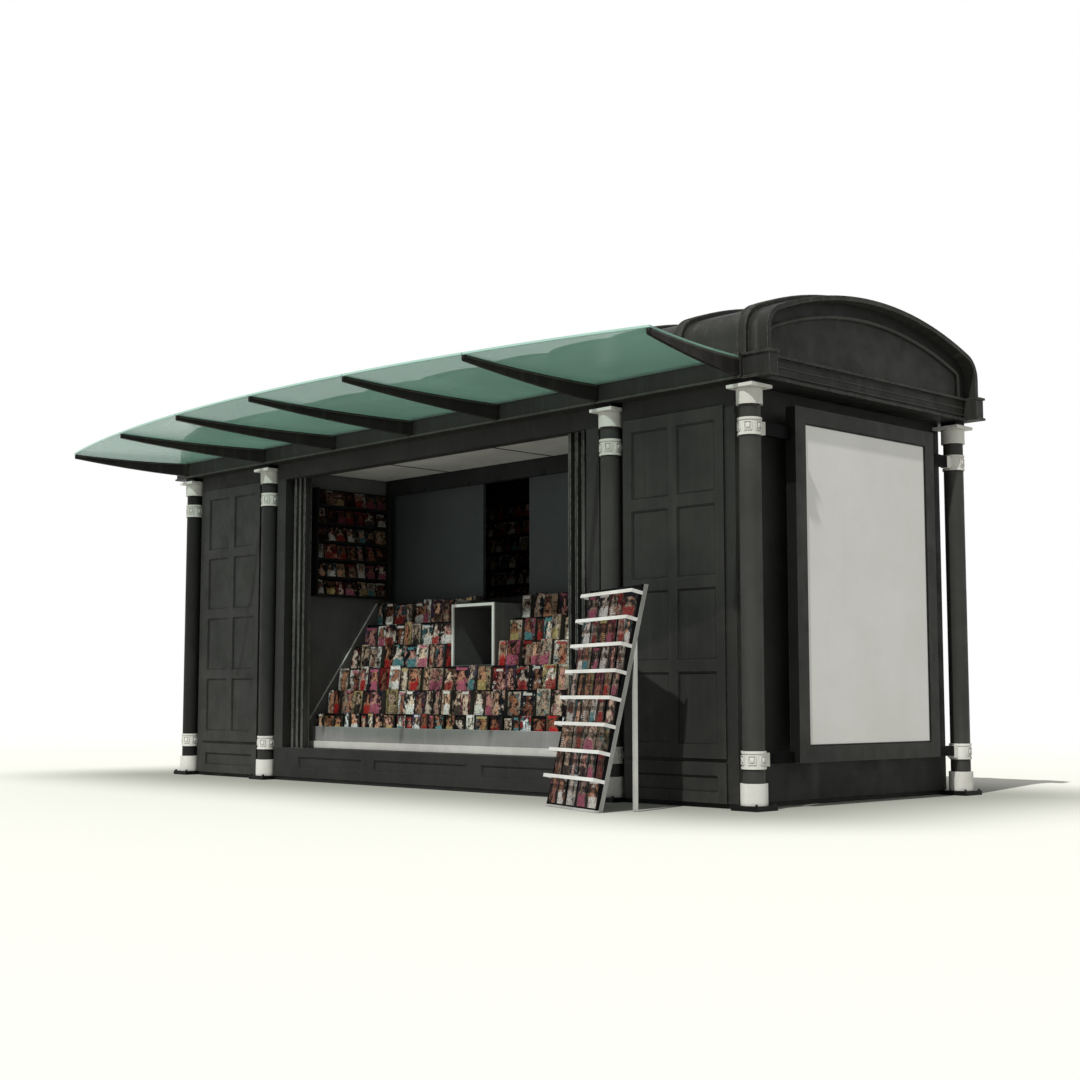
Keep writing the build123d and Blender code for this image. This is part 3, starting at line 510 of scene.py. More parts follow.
class Shape:
    """Vertices and faces of one joined piece."""

    def __init__(self):
        self.points = []
        self.faces = []

    def add(self, points, faces):
        base = len(self.points)
        self.points += [tuple(p) for p in points]
        self.faces += [tuple(base + i for i in f) for f in faces]

    def box(self, low, high, chamfer):
        """A box with chamfered edges."""
        solid = bmesh.new()
        bmesh.ops.create_cube(solid, size=1.0)
        low, high = Vector(low), Vector(high)
        for vertex in solid.verts:
            vertex.co = (low + high) / 2 + vertex.co * (high - low)
        bmesh.ops.bevel(solid, geom=solid.edges[:], offset=chamfer, segments=1, affect="EDGES",
                        profile=0.5)
        solid.verts.index_update()
        self.add([v.co for v in solid.verts], [[v.index for v in f.verts] for f in solid.faces])
        solid.free()

    def loft(self, rings, closed_path=False):
        """Joins rings of equally many points into one skin, capped unless the path closes."""
        count = len(rings[0])
        faces = []
        for r in range(len(rings) if closed_path else len(rings) - 1):
            n = (r + 1) % len(rings)
            for i in range(count):
                j = (i + 1) % count
                faces.append((r * count + i, r * count + j, n * count + j, n * count + i))
        if not closed_path:
            faces.append(tuple(range(count)))
            faces.append(tuple((len(rings) - 1) * count + i for i in range(count)))
        self.add([p for ring in rings for p in ring], faces)

    def sweep(self, stations, profile, closed_path=False):
        """A profile of (side, out) points carried along stations of (place, side, out)."""
        self.loft([[o + s * a + n * b for a, b in profile] for o, s, n in stations], closed_path)

    def moulding(self, outline, profile, to):
        """A profile of (inset, lift) points carried round an outline of (u, v, inward u, v)."""
        rings = [[to(u + du * a, v + dv * a, b) for a, b in profile] for u, v, du, dv in outline]
        self.loft(rings, closed_path=True)

    def prism(self, centre, radius, height, sides):
        """An upright bar of several sides with a domed end."""
        turns = [2 * math.pi * i / sides for i in range(sides)]
        rings = []
        for share, lift in ((1.0, 0.0), (1.0, 0.7), (0.8, 0.95), (0.4, 1.0)):
            middle = centre + Z * (height * lift)
            rings.append([middle + (X * math.cos(t) + Y * math.sin(t)) * (radius * share)
                          for t in turns])
        self.loft(rings)

    def make(self, name, material, slot, smooth=35.0, recalc=True):
        mesh = bpy.data.meshes.new(name)
        mesh.from_pydata(self.points, [], self.faces)
        if recalc:
            solid = bmesh.new()
            solid.from_mesh(mesh)
            bmesh.ops.recalc_face_normals(solid, faces=solid.faces[:])
            solid.to_mesh(mesh)
            solid.free()
        mesh.update()
        mesh.materials.append(material)
        for polygon in mesh.polygons:
            polygon.use_smooth = True
        mesh.set_sharp_from_angle(angle=math.radians(smooth))
        piece = bpy.data.objects.new(name, mesh)
        scene.collection.objects.link(piece)
        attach(piece, "root")
        return piece


def rectangle(u0, v0, u1, v1):
    """The corners of a rectangle, with inward directions."""
    return [(u0, v0, 1, 1), (u1, v0, -1, 1), (u1, v1, -1, -1), (u0, v1, 1, -1)]


def rounded(width, height, radius, steps=4):
    """A rounded rectangle about the origin, with inward directions."""
    outline = []
    for quarter, (sx, sy) in enumerate(((1, 1), (-1, 1), (-1, -1), (1, -1))):
        for i in range(steps + 1):
            turn = (quarter + i / steps) * math.pi / 2
            c, s = math.cos(turn), math.sin(turn)
            u = sx * (width / 2 - radius) + radius * c
            v = sy * (height / 2 - radius) + radius * s
            outline.append((u, v, -c, -s))
    return outline


def half_round(width, height, steps=6):
    """A bead's profile of (side, out) points."""
    return [(width / 2 * math.cos(math.pi * i / steps), height * math.sin(math.pi * i / steps))
            for i in range(steps + 1)]


# ---------------------------------------------------------------- panel mouldings

LEAF_LOW, LEAF_HIGH, LEAF_RELIEF = 1.9609, 2.7460, 0.014
STILE, MULLION, RAIL = 0.062, 0.066, 0.066
PANEL_BOTTOM, PANEL_HEIGHT, PANEL_ROWS, PANEL_DEPTH = 0.356, 0.419, 4, 0.010
PLINTH_BOTTOM, PLINTH_TOP = 0.088, 0.184
BACK_BAYS = 3
SILL_FIELDS = [(-1.4229, -0.643), (-0.505, 0.505), (0.643, 1.4229)]
SILL_BOTTOM, SILL_TOP = 0.098, 0.182
OVOLO = [(SKIM, SKIM), (SKIM, 0.0085), (0.004, 0.0082), (0.009, 0.0055), (0.0125, 0.0015),
         (0.0125, SKIM)]


def panel_cells(low, high):
    """The sunk fields of a panelled leaf between two places along the wall."""
    width = (high - low - 2 * STILE - MULLION) / 2
    for row in range(PANEL_ROWS):
        z = PANEL_BOTTOM + row * (PANEL_HEIGHT + RAIL)
        for column in (0, 1):
            x = low + STILE + column * (width + MULLION)
            yield x, z, x + width, z + PANEL_HEIGHT
    yield low + STILE, PLINTH_BOTTOM, high - STILE, PLINTH_TOP


def wall_beads(name, cells, floor_y, out):
    """Ovolo beads round the sunk fields of one wall face; out is the way it looks along Y."""
    shape = Shape()
    for cell in cells:
        shape.moulding(rectangle(*cell), OVOLO,
                       lambda u, v, lift: Vector((u, floor_y + out * lift, v)))
    shape.make(name, shaded_bead_paint, "dark_paint", smooth=50.0)


left_leaf = list(panel_cells(-LEAF_HIGH, -LEAF_LOW))
right_leaf = list(panel_cells(LEAF_LOW, LEAF_HIGH))
bay_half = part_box("back_centre_wall")[1].x
bay_edges = [-bay_half + i * bay_half * 2 / BACK_BAYS for i in range(BACK_BAYS + 1)]
bay_cells = [cell for bay in zip(bay_edges, bay_edges[1:]) for cell in panel_cells(*bay)]
sill_cells = [(low, SILL_BOTTOM, high, SILL_TOP) for low, high in SILL_FIELDS]
front_floor = FRONT_Y - LEAF_RELIEF + PANEL_DEPTH
back_floor = BACK_Y + LEAF_RELIEF - PANEL_DEPTH
wall_beads("beads_left_wing", left_leaf, front_floor, -1)
wall_beads("beads_right_wing", right_leaf, front_floor, -1)
wall_beads("beads_back_wings", left_leaf + right_leaf, back_floor, 1)
wall_beads("beads_back_centre", bay_cells, BACK_Y - PANEL_DEPTH, 1)
wall_beads("beads_sill", sill_cells, FRONT_Y + PANEL_DEPTH, -1)


# ---------------------------------------------------------------- columns

BAND_RADIUS = 0.067
BAND_MIDDLES = (0.278, 2.154)
BASE_PLATE_TOP, BOLT_OUT = 0.028, 0.079
WASHER_RADIUS, WASHER_HEIGHT, WASHER_SIDES = 0.0105, 0.003, 16
NUT_RADIUS, NUT_HEIGHT, NUT_SIDES = 0.0078, 0.008, 6
PLATES_ROUND = 6
PLATE_OUTLINE, BOSS_OUTLINE = rounded(0.047, 0.054, 0.009), rounded(0.023, 0.03, 0.006)
PLATE_RING = [(0.0, 0.0), (0.001, 0.005), (0.0055, 0.005), (0.0065, 0.0)]
BOSS_RINGS = [(0.0, 0.0), (0.001, 0.0036), (0.003, 0.005)]
ARM_FACING = 0.8

band_plates = Shape()
plate_bolts = Shape()
for cx in COLUMN_X:
    at_end = abs(cx) == COLUMN_X[-1]
    for cy in (FRONT_Y, BACK_Y):
        inward = math.pi / 2 if cy < MID_Y else -math.pi / 2
        for bx in (-BOLT_OUT, BOLT_OUT):
            for by in (-BOLT_OUT, BOLT_OUT):
                foot = Vector((cx + bx, cy + by, BASE_PLATE_TOP))
                plate_bolts.prism(foot, WASHER_RADIUS, WASHER_HEIGHT, WASHER_SIDES)
                plate_bolts.prism(foot + Z * WASHER_HEIGHT, NUT_RADIUS, NUT_HEIGHT, NUT_SIDES)
        for middle in BAND_MIDDLES:
            for place in range(PLATES_ROUND):
                turn = place * 2 * math.pi / PLATES_ROUND
                # On the end columns the arm of the poster panel takes this place.
                if at_end and math.cos(turn - inward) > ARM_FACING:
                    continue

                def on_band(u, v, lift):
                    angle = turn + u / BAND_RADIUS
                    reach = BAND_RADIUS + lift
                    return Vector((cx + reach * math.cos(angle), cy + reach * math.sin(angle),
                                   middle + v))

                band_plates.moulding(PLATE_OUTLINE, PLATE_RING, on_band)
                band_plates.loft([[on_band(u + du * inset, v + dv * inset, lift)
                                   for u, v, du, dv in BOSS_OUTLINE] for inset, lift in BOSS_RINGS])
band_plates.make("band_plates", pale_paint, "light_paint", smooth=50.0)
plate_bolts.make("plate_bolts", black_paint, "dark_paint")


# ---------------------------------------------------------------- roof, eaves and gables

ROOF_HALF, SHOULDER = 1.099, 0.161
EAVE_TOP, EAVE_BOTTOM = 2.57, 2.423
SHOULDER_Y = ROOF_HALF - SHOULDER
SHOULDER_Z = ROOF_CENTRE_Z + math.sqrt((ROOF_RADIUS - SHOULDER) ** 2 - SHOULDER_Y ** 2)
SHOULDER_LEAN = math.atan2(SHOULDER_Y, SHOULDER_Z - ROOF_CENTRE_Z)
ARCH_STEPS = 12
RIB_RISE, RIB_HALF, RIB_BEAD_INSET = 0.024, 0.033, 0.007
RIB_X = [0.0] + [s * x for x in (0.6529, 1.3275, 1.8595, 2.4432, COLUMN_X[-1]) for s in (-1, 1)]
CORNICE_FACE, CORNICE_BEADS_Z, BEAD_STOP = 3.024, (2.462, 2.508), 0.002
GABLE_FACE, GABLE_ARC_RISE, GABLE_ARC_INSET = 3.014, 0.012, 0.115
FASCIA_LIP_Y, FASCIA_END, LIP_HEIGHT = -0.471, 2.939, 0.014
STRIP_DEPTH, STRIP_MARGIN, STRIP_CHAMFER = 0.0018, 0.002, 0.0006


def arch(offset, x):
    """Stations over the roof from the front eave to the back, that far outside the shell."""
    half = [(Vector((x, -ROOF_HALF - offset, EAVE_TOP)), -Y)]
    for i in range(ARCH_STEPS + 1):
        turn = math.pi / 2 + (SHOULDER_LEAN - math.pi / 2) * i / ARCH_STEPS
        out = -Y * math.sin(turn) + Z * math.cos(turn)
        half.append((Vector((x, -SHOULDER_Y, SHOULDER_Z)) + out * (SHOULDER + offset), out))
    for i in range(1, ARCH_STEPS):
        turn = SHOULDER_LEAN * (1 - i / ARCH_STEPS)
        out = -Y * math.sin(turn) + Z * math.cos(turn)
        half.append((Vector((x, 0.0, ROOF_CENTRE_Z)) + out * (ROOF_RADIUS + offset), out))
    crown = [(Vector((x, 0.0, ROOF_CENTRE_Z + ROOF_RADIUS + offset)), Z)]
    mirror = [(Vector((x, -p.y, p.z)), Vector((0.0, -n.y, n.z))) for p, n in reversed(half)]
    return [(p + Y * MID_Y, n) for p, n in half + crown + mirror]


rib_beads = Shape()
for x in RIB_X:
    for side in (-1, 1):
        path = arch(RIB_RISE, x + side * (RIB_HALF - RIB_BEAD_INSET))
        rib_beads.sweep([(p, X, n) for p, n in path], half_round(0.013, 0.006))
rib_beads.make("roof_rib_beads", roof_paint, "dark_paint", smooth=50.0)

cornice_low, cornice_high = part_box("end_cornices")
cornice_y = (cornice_low.y + BEAD_STOP, cornice_high.y - BEAD_STOP)
end_beads = Shape()
for side in (-1, 1):
    for z in CORNICE_BEADS_Z:
        place = [Vector((side * CORNICE_FACE, y, z)) for y in cornice_y]
        end_beads.sweep([(p, Z, X * side) for p in place], half_round(0.012, 0.007))
    path = arch(-GABLE_ARC_INSET, side * (GABLE_FACE + GABLE_ARC_RISE))
    end_beads.sweep([(p, n, X * side) for p, n in path], half_round(0.02, 0.009))
end_beads.make("gable_beads", strip_paint, "dark_paint", smooth=50.0)

# A pale strip on the front of the fascia's lower lip: painted highlight along the lip.
lip_highlight_strip = Shape()
lip_highlight_strip.box((-FASCIA_END, FASCIA_LIP_Y - STRIP_DEPTH, EAVE_BOTTOM + STRIP_MARGIN),
               (FASCIA_END, FASCIA_LIP_Y - SKIM, EAVE_BOTTOM + LIP_HEIGHT - STRIP_MARGIN),
               STRIP_CHAMFER)
lip_highlight_strip.make("fascia_lip_strip", strip_paint, "dark_paint")


# ---------------------------------------------------------------- canopy arms

ARM_SHARES = (-0.994, -0.615, -0.305, 0.0, 0.305, 0.615, 0.994)
ARM_ROOT_Y, ARM_TOP, ARM_HALF, ARM_SAG, ARM_FAN = -0.461, 2.542, 0.014, 0.011, 1.056
ARM_TRIM = [(SKIM, 0.0012), (0.003, 0.0012), (0.004, 0.004), (0.004, 0.011), (SKIM, 0.014)]
TRIM_START, TRIM_SPAN, TRIM_STEPS = 0.01, 0.985, 16
TIP_HEIGHT, TIP_EASE, TIP_LIP, TIP_GAP, TIP_STEPS = 0.032, 0.004, 0.001, 0.0003, 10
TIP_RINGS = [(0.0, TIP_EASE), (TIP_EASE, 0.0), (TIP_HEIGHT - TIP_EASE, 0.0),
             (TIP_HEIGHT, TIP_EASE)]

arm_trim = Shape()
arm_tips = Shape()
for arm_share in ARM_SHARES:
    root_x = arm_share * COLUMN_X[-1]
    tip_x = root_x * ARM_FAN
    tip_y = CANOPY_CENTRE_Y - math.sqrt(CANOPY_RADIUS ** 2 - tip_x ** 2)
    root, tip = Vector((root_x, ARM_ROOT_Y, ARM_TOP)), Vector((tip_x, tip_y, ARM_TOP))
    along = (tip - root).normalized()
    across = along.cross(Z)
    for side in (-1, 1):
        stations = []
        for i in range(TRIM_STEPS + 1):
            share = TRIM_START + TRIM_SPAN * i / TRIM_STEPS
            dip = Z * (4 * ARM_SAG * share * (1 - share))
            place = root.lerp(tip, share) - dip + across * (side * ARM_HALF)
            stations.append((place, across * side, -Z))
        arm_trim.sweep(stations, ARM_TRIM)
    rings = []
    for drop, inset in TIP_RINGS:
        reach = ARM_HALF + TIP_LIP - inset
        ring = []
        for i in range(TIP_STEPS + 1):
            turn = math.pi * i / TIP_STEPS
            bulge = along * (TIP_GAP + reach * math.sin(turn))
            ring.append(tip - Z * drop + bulge + across * (reach * math.cos(turn)))
        rings.append(ring)
    arm_tips.loft(rings)
arm_trim.make("canopy_arm_trim", strip_paint, "dark_paint")
arm_tips.make("canopy_arm_tips", black_paint, "dark_paint", smooth=50.0)


# ---------------------------------------------------------------- poster gaskets and booth fittings

GASKET = [(SKIM, SKIM), (SKIM, 0.006), (0.006, 0.006), (0.01, 0.003), (0.01, SKIM)]
JOINT_X, JOINT_HALF, JOINT_DROP, JOINT_STOP = (-0.76, 0.385), 0.008, 0.003, 0.002
HOOK_X = (-1.24, -1.05, -0.52, -0.2, 0.3, 0.62, 0.86, 1.08, 1.3)
HOOK_PLATE = Vector((-0.009, -0.0035, 0.004)), Vector((0.009, -SKIM, 0.03))
HOOK_CENTRE, HOOK_RADIUS = Vector((0.0, -0.016, 0.002)), 0.012
# The ends of the bend, in half turns.
HOOK_START, HOOK_BEND, HOOK_STEPS = 0.1, 1.25, 12
WIRE_RADIUS, WIRE_SIDES = 0.0028, 8
FITTING_CHAMFER = 0.001

sheet_low, sheet_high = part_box("poster_sheets")
gaskets = Shape()
for side in (-1, 1):
    gaskets.moulding(rectangle(sheet_low.y, sheet_low.z, sheet_high.y, sheet_high.z), GASKET,
                     lambda u, v, lift: Vector((side * (sheet_high.x + lift), u, v)))
gaskets.make("poster_gaskets", black_paint, "dark_paint")

ceiling_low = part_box("booth_ceiling")[0]
header_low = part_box("screen_header")[0]
joints = Shape()
for x in JOINT_X:
    joints.box((x - JOINT_HALF, ceiling_low.y + JOINT_STOP, ceiling_low.z - JOINT_DROP),
               (x + JOINT_HALF, header_low.y - JOINT_STOP, ceiling_low.z - SKIM), FITTING_CHAMFER)
joints.make("ceiling_joints", header_paint, "dark_paint")

wire_turns = [2 * math.pi * i / WIRE_SIDES for i in range(WIRE_SIDES)]
wire = [(WIRE_RADIUS * math.cos(t), WIRE_RADIUS * math.sin(t)) for t in wire_turns]
hooks = Shape()
for x in HOOK_X:
    spot = Vector((x, header_low.y, header_low.z))
    hooks.box(spot + HOOK_PLATE[0], spot + HOOK_PLATE[1], FITTING_CHAMFER)
    path = []
    for i in range(HOOK_STEPS + 1):
        turn = math.pi * (HOOK_START - HOOK_BEND * i / HOOK_STEPS)
        out = Y * -math.cos(turn) + Z * math.sin(turn)
        path.append((spot + HOOK_CENTRE + out * HOOK_RADIUS, X, out))
    hooks.sweep(path, wire)
hooks.make("header_hooks", black_paint, "dark_paint")


# ---------------------------------------------------------------- magazines

GROUNDS = [srgb(*c) for c in (
    (34, 30, 30), (222, 217, 208), (132, 36, 38), (60, 48, 44), (164, 140, 118), (192, 178, 162),
    (30, 35, 43), (136, 70, 84), (68, 98, 104), (178, 156, 134), (40, 36, 34), (168, 148, 104),
    (82, 64, 84), (226, 221, 214), (84, 64, 52), (30, 26, 26))]
FIGURES = [srgb(*c) for c in (
    (224, 176, 146), (236, 204, 180), (190, 136, 108), (160, 108, 84), (240, 220, 204),
    (206, 150, 136), (176, 150, 130), (132, 84, 66))]
ACCENTS = [srgb(*c) for c in (
    (234, 230, 224), (176, 38, 42), (190, 168, 112), (22, 22, 24), (178, 92, 116), (80, 140, 146),
    (236, 232, 222), (150, 44, 42))]
TAN = srgb(172, 148, 118)
# The air under a magazine, and behind one that leans.
SIT, LEAN_GAP = 0.0005, 0.006


def leaning(up, out, rise, reach):
    """Up and out directions of a magazine that leans by that reach over its height."""
    lean = (up * rise + out * reach).normalized()
    return lean, (out * rise - up * reach).normalized()


class Pile(Shape):
    """A joined heap of magazines with the inks of each cover."""

    def __init__(self, seed):
        super().__init__()
        self.rng = random.Random(seed)
        self.loops = []

    def magazine(self, corner, across, up, out, width, height, thick, left=0.0, right=0.0, bow=0.0,
                 tone=1.0, ground=None):
        """One magazine from its lower left corner; left and right lift its sides, bow its face."""
        rng = self.rng
        tone *= rng.uniform(0.7, 1.15)

        def shade(colour):
            return tuple(min(1.0, c * tone) for c in colour[:3]) + (1.0,)

        inks = (shade(ground or rng.choice(GROUNDS)), shade(ground or rng.choice(FIGURES)),
                shade(rng.choice(ACCENTS)))
        plan = (rng.random(), rng.random(), rng.random())
        nu, nv = 4, 3
        points = []
        for layer in (thick, 0.0):
            for j in range(nv + 1):
                for i in range(nu + 1):
                    a, b = i / nu, j / nv
                    bend = bow * math.sin(math.pi * a) * (0.4 + 0.6 * b)
                    lift = left * (1 - a) + right * a + layer + bend
                    points.append(corner + across * (a * width) + up * (b * height) + out * lift)

        def at(layer, i, j):
            return layer * (nu + 1) * (nv + 1) + j * (nu + 1) + i

        faces, maps = [], []
        pages = [(0.0, 0.0), (0.0, 1.0), (1.0, 1.0), (1.0, 0.0)]
        for j in range(nv):
            for i in range(nu):
                quad = ((i, j), (i + 1, j), (i + 1, j + 1), (i, j + 1))
                faces += [[at(0, *q) for q in quad], [at(1, *q) for q in quad[::-1]]]
                maps += [([(a / nu, b / nv) for a, b in quad], 1.0), ([(0.02, 0.5)] * 4, 1.0)]
        for i in range(nu):
            for j, turn in ((0, 1), (nv, -1)):
                edge = [at(1, i, j), at(1, i + 1, j), at(0, i + 1, j), at(0, i, j)]
                faces.append(edge[::turn])
                maps.append((pages, 0.0))
        for j in range(nv):
            faces.append([at(1, 0, j), at(1, 0, j + 1), at(0, 0, j + 1), at(0, 0, j)][::-1])
            maps.append(([(0.0, 0.1)] * 4, 1.0))
            faces.append([at(1, nu, j), at(1, nu, j + 1), at(0, nu, j + 1), at(0, nu, j)])
            maps.append((pages, 0.0))
        self.add(points, faces)
        self.loops += [(spots, inks, plan + (printed,)) for spots, printed in maps]

    def spread(self, length, width, gap, least, most):
        """Places and widths of uneven magazines that fill a length, with uneven gaps between."""
        rng = self.rng
        spans = []
        used = 0.0
        while used < length:
            spans.append((width * rng.uniform(least, most), gap * rng.uniform(0.4, 1.7)))
            used += sum(spans[-1])
        fit = length / used
        at = 0.0
        for wide, after in spans:
            yield at, wide * fit
            at += (wide + after) * fit

    def row(self, foot, length, across, up, out, width, height, gap, tone):
        """Magazines side by side along a shelf."""
        rng = self.rng
        for at, wide in self.spread(length, width, gap, 0.75, 1.2):
            self.magazine(foot + across * at, across, up, out, wide,
                          height * rng.uniform(0.86, 1.0), rng.uniform(0.004, 0.008),
                          rng.uniform(0.0, 0.003), rng.uniform(0.0, 0.003),
                          rng.uniform(0.0, 0.004), tone)

    def tier(self, low, high, riser_y, tread_z, rise, room, width, gap, tone):
        """Upright stacks along a display step, each leaning on the riser behind it."""
        rng = self.rng
        for at, wide in self.spread(high - low, width, gap, 0.6, 1.3):
            lean = room * rng.uniform(0.08, 0.18)
            up, out = leaning(Z, -Y, rise, -lean)
            foot = Vector((low + at, riser_y - lean - LEAN_GAP, tread_z))
            self.magazine(foot, X, up, out, wide, rise + rng.uniform(-0.012, 0.018),
                          room * rng.uniform(0.12, 0.45), bow=rng.uniform(0.0, 0.004), tone=tone)

    def make(self, name):
        """The piece, with its cover places and inks on the corners of its faces."""
        mesh = super().make(name, covers, "magazine_paper", smooth=40.0, recalc=False).data
        keys = ("ground", "figure", "accent", "plan")
        mesh.uv_layers.new(name="cover")
        for key in keys:
            mesh.color_attributes.new(key, "FLOAT_COLOR", "CORNER")
        spots = [c for spot, _, _ in self.loops for uv in spot for c in uv]
        mesh.uv_layers["cover"].data.foreach_set("uv", spots)
        for i, key in enumerate(keys):
            tones = [c for spot, inks, plan in self.loops for _ in spot for c in (*inks, plan)[i]]
            mesh.color_attributes[key].data.foreach_set("color", tones)


SLOPE_FOOT, SLOPE_HEAD = Vector((0.0, -0.198, 0.404)), Vector((0.0, 0.462, 1.350))
FIRST_ROW, DISPLAY_ROWS, HATCH_ROW, HATCH_GAP = 0.095, 6, 3, 0.006
FIRST_TREAD_DROP, TRAY_BOARD, STEP_LIP = 0.040, 0.020, 0.004
DISPLAY_HALF, LEFT_STOP, RIGHT_STOP = 1.5199, 0.03, 0.012

row_pitch = (1 - FIRST_ROW) / (DISPLAY_ROWS - 1)
step_shares = [0.0] + [FIRST_ROW + i * row_pitch for i in range(DISPLAY_ROWS)]
steps = [SLOPE_FOOT.lerp(SLOPE_HEAD, share) for share in step_shares]
hatch_low, hatch_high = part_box("hatch_box")
left_end, right_end = -DISPLAY_HALF + LEFT_STOP, DISPLAY_HALF - RIGHT_STOP

display_pile = Pile(11)
for row in range(DISPLAY_ROWS):
    tread, shelf = steps[row].copy(), steps[row + 1]
    front = tread.y + STEP_LIP
    width, gap, tone = 0.118, 0.012, 1.1
    if row == 0:
        tread.z -= FIRST_TREAD_DROP
        front = tread.y + TRAY_BOARD
        width, gap, tone = 0.088, 0.022, 1.5
    runs = [(left_end, right_end)]
    if row >= HATCH_ROW:
        runs = [(left_end, hatch_low.x - HATCH_GAP), (hatch_high.x + HATCH_GAP, right_end)]
    for low, high in runs:
        display_pile.tier(low, high, shelf.y, tread.z + SIT, shelf.z - tread.z, shelf.y - front,
                          width, gap, tone)
display_pile.make("magazines_display")

RACK_LEVELS = [1.400 + i * 0.13933 for i in range(6)]
RACK_FRONT, RACK_BACK, RACK_BOARD, RACK_STOP, RACK_INSET = -0.206, 0.524, 0.016, 0.004, 0.034
BOOTH_HALF = 1.5399
COVER_RISE, COVER_HEIGHT, COVER_GAP = 0.118, 0.117, 0.01
REAR_START_X, REAR_Y, REAR_LENGTH = -1.6899, 1.594, 2.18

low_y, high_y = RACK_FRONT + RACK_BOARD + RACK_STOP, RACK_BACK - RACK_BOARD - RACK_STOP
for side, seed, name in ((-1, 21, "magazines_left_rack"), (1, 22, "magazines_right_rack")):
    pile = Pile(seed)
    start = Vector((side * (BOOTH_HALF - RACK_BOARD - RACK_INSET), high_y if side > 0 else low_y,
                    RACK_BOARD + SIT))
    up, out = leaning(Z, X * -side, COVER_RISE, -0.024)
    # Covers dimmed, more on each higher shelf: painted shade inside the booth.
    for level, z in enumerate(RACK_LEVELS):
        pile.row(start + Z * z, high_y - low_y, Y * -side, up, out, 0.098, COVER_HEIGHT, COVER_GAP,
                 tone=0.6 - 0.06 * level)
    pile.make(name)

rear_pile = Pile(31)
up, out = leaning(Z, -Y, COVER_RISE, -0.016)
for z in RACK_LEVELS:
    foot = Vector((REAR_START_X, REAR_Y, z + RACK_BOARD + SIT))
    rear_pile.row(foot, REAR_LENGTH, X, up, out, 0.104, COVER_HEIGHT, COVER_GAP, tone=0.8)
rear_pile.make("magazines_rear_rack")

STAND_TURN, STAND_LEAN = math.radians(-19.14), math.radians(13.12)
STAND_FOOT = Vector((2.471, -1.142, 0.0))
STAND_WIDTH, STAND_HEIGHT, STAND_CHEEK = 0.647, 1.254, 0.0125
STAND_X = Vector((math.cos(STAND_TURN), math.sin(STAND_TURN), 0.0))
STAND_BACK = Vector((-math.sin(STAND_TURN), math.cos(STAND_TURN), 0.0))
STAND_UP = STAND_BACK * math.sin(STAND_LEAN) + Z * math.cos(STAND_LEAN)
STAND_OUT = -STAND_BACK * math.cos(STAND_LEAN) + Z * math.sin(STAND_LEAN)
STAND_LENGTH = STAND_HEIGHT / math.cos(STAND_LEAN)
FIRST_BAR, LAST_BAR, BARS = 0.13, 0.9605, 8
TRAY_REST, BAR_REST, BACK_GAP, BAR_REACH, OVER_BAR = 0.0205, 0.0145, 0.0035, 0.011, 0.026
WIDE_ROWS, WIDE_COVER, NARROW_COVER = (0, 2, 7), 0.138, 0.092

bars = [STAND_LENGTH * (FIRST_BAR + i * (LAST_BAR - FIRST_BAR) / (BARS - 1)) for i in range(BARS)]
stand_pile = Pile(41)
for row, bar in enumerate(bars):
    bottom = TRAY_REST if row == 0 else bars[row - 1] + BAR_REST
    up, out = leaning(STAND_UP, STAND_OUT, bar - bottom, BAR_REACH)
    foot = (STAND_FOOT + STAND_UP * bottom + STAND_OUT * BACK_GAP
            - STAND_X * (STAND_WIDTH - STAND_CHEEK))
    width = WIDE_COVER if row in WIDE_ROWS else NARROW_COVER
    stand_pile.row(foot, STAND_WIDTH - 2 * STAND_CHEEK, STAND_X, up, out, width,
                   bar - bottom + OVER_BAR, 0.02, tone=0.6)
stand_pile.make("magazines_stand")

STACK_TURNS = ((0.0, 0.0), (0.008, 0.05), (-0.004, -0.04), (0.012, 0.08))
STACK_INSET, STACK_GAP, STACK_PITCH = 0.012, 0.0003, 0.0072
stack = Pile(51)
for level, (shift, turn) in enumerate(STACK_TURNS):
    across = X * math.cos(turn) + Y * math.sin(turn)
    corner = Vector((hatch_low.x + STACK_INSET + shift, hatch_low.y + STACK_INSET,
                     hatch_high.z + STACK_GAP + level * STACK_PITCH))
    stack.magazine(corner, across, Z.cross(across), Z, 0.15, 0.2, 0.007, tone=0.9, ground=TAN)
stack.make("hatch_top_stack")


# ---------------------------------------------------------------- stage and light

FLOOR_REACH, FLOOR_DROP = 120.0, 0.001
FOOTPRINT_HALF_X, FOOTPRINT_HALF_Y = 2.95, 1.07
SHADE_REACH, WHITE_FROM, WHITE_AT = 1.9, 2.5, 12.0
SUN_TRAVEL = Vector((-0.26, 1.0, -1.38))
SKY_LIGHT, SKY_SEEN = 0.42, 1.0


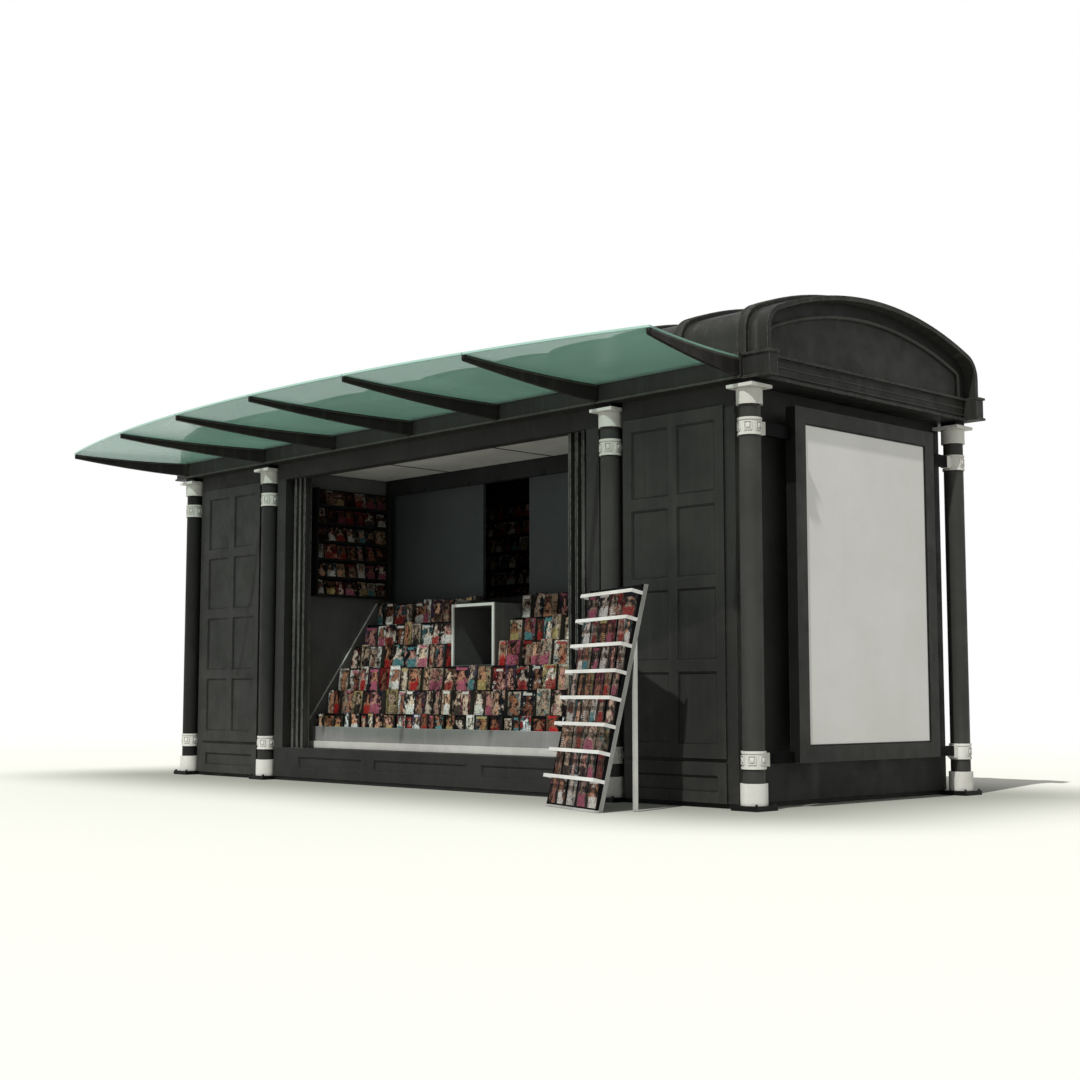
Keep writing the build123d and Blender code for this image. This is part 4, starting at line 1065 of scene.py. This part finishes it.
def floor_material():
    """A plain pale floor, with painted shade close to the walls, that fades to white far away."""
    g = Graph("floor_plain")
    x, y, _ = g.xyz()
    gap_x = g.math("SUBTRACT", g.math("ABSOLUTE", x), FOOTPRINT_HALF_X)
    gap_y = g.math("SUBTRACT", g.apart(y, MID_Y), FOOTPRINT_HALF_Y)
    gap = g.length(g.math("MAXIMUM", gap_x, 0.0), g.math("MAXIMUM", gap_y, 0.0))
    # Darker close to the walls, only as the camera sees it: painted shade.
    near = g.mix(g.noise(1.2, 3.0, 0.5), srgb(164, 165, 155), srgb(171, 172, 162))
    shown = g.mix(g.ramp(gap, 0.0, SHADE_REACH), near, srgb(246, 246, 236))
    seen = g.seen()
    lit = g.add("ShaderNodeBsdfDiffuse")
    g.put(lit.inputs["Color"], g.mix(seen, srgb(188, 188, 184), shown))
    far = g.times(g.ramp(gap, WHITE_FROM, WHITE_AT), seen)
    return g.finish(g.blend(far, lit, g.add("ShaderNodeEmission")))


floor_mesh = bpy.data.meshes.new("floor")
corners = [(sx * FLOOR_REACH, sy * FLOOR_REACH, 0.0)
           for sx, sy in ((-1, -1), (1, -1), (1, 1), (-1, 1))]
floor_mesh.from_pydata(corners, [], [(0, 1, 2, 3)])
floor_mesh.materials.append(floor_material())
floor = bpy.data.objects.new("floor", floor_mesh)
floor.location.z = -FLOOR_DROP
scene.collection.objects.link(floor)
floor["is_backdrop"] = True

sun_data = bpy.data.lights.new("key", "SUN")
sun_data.energy = 2.7
sun_data.angle = math.radians(0.9)
sun = bpy.data.objects.new("key", sun_data)
sun.rotation_euler = SUN_TRAVEL.to_track_quat("-Z", "Y").to_euler()
scene.collection.objects.link(sun)

scene.world = bpy.data.worlds.new("studio")
sky = Graph(scene.world, "ShaderNodeOutputWorld")
background = sky.add("ShaderNodeBackground")
background.inputs["Color"].default_value = (1.0, 1.0, 1.0, 1.0)
sky.put(background.inputs["Strength"], sky.ramp(sky.seen(), 0.0, 1.0, SKY_LIGHT, SKY_SEEN))
sky.finish(background)


low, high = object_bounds()
{"cad": [list(cad_low), list(cad_high)], "visual": [list(low), list(high)]}
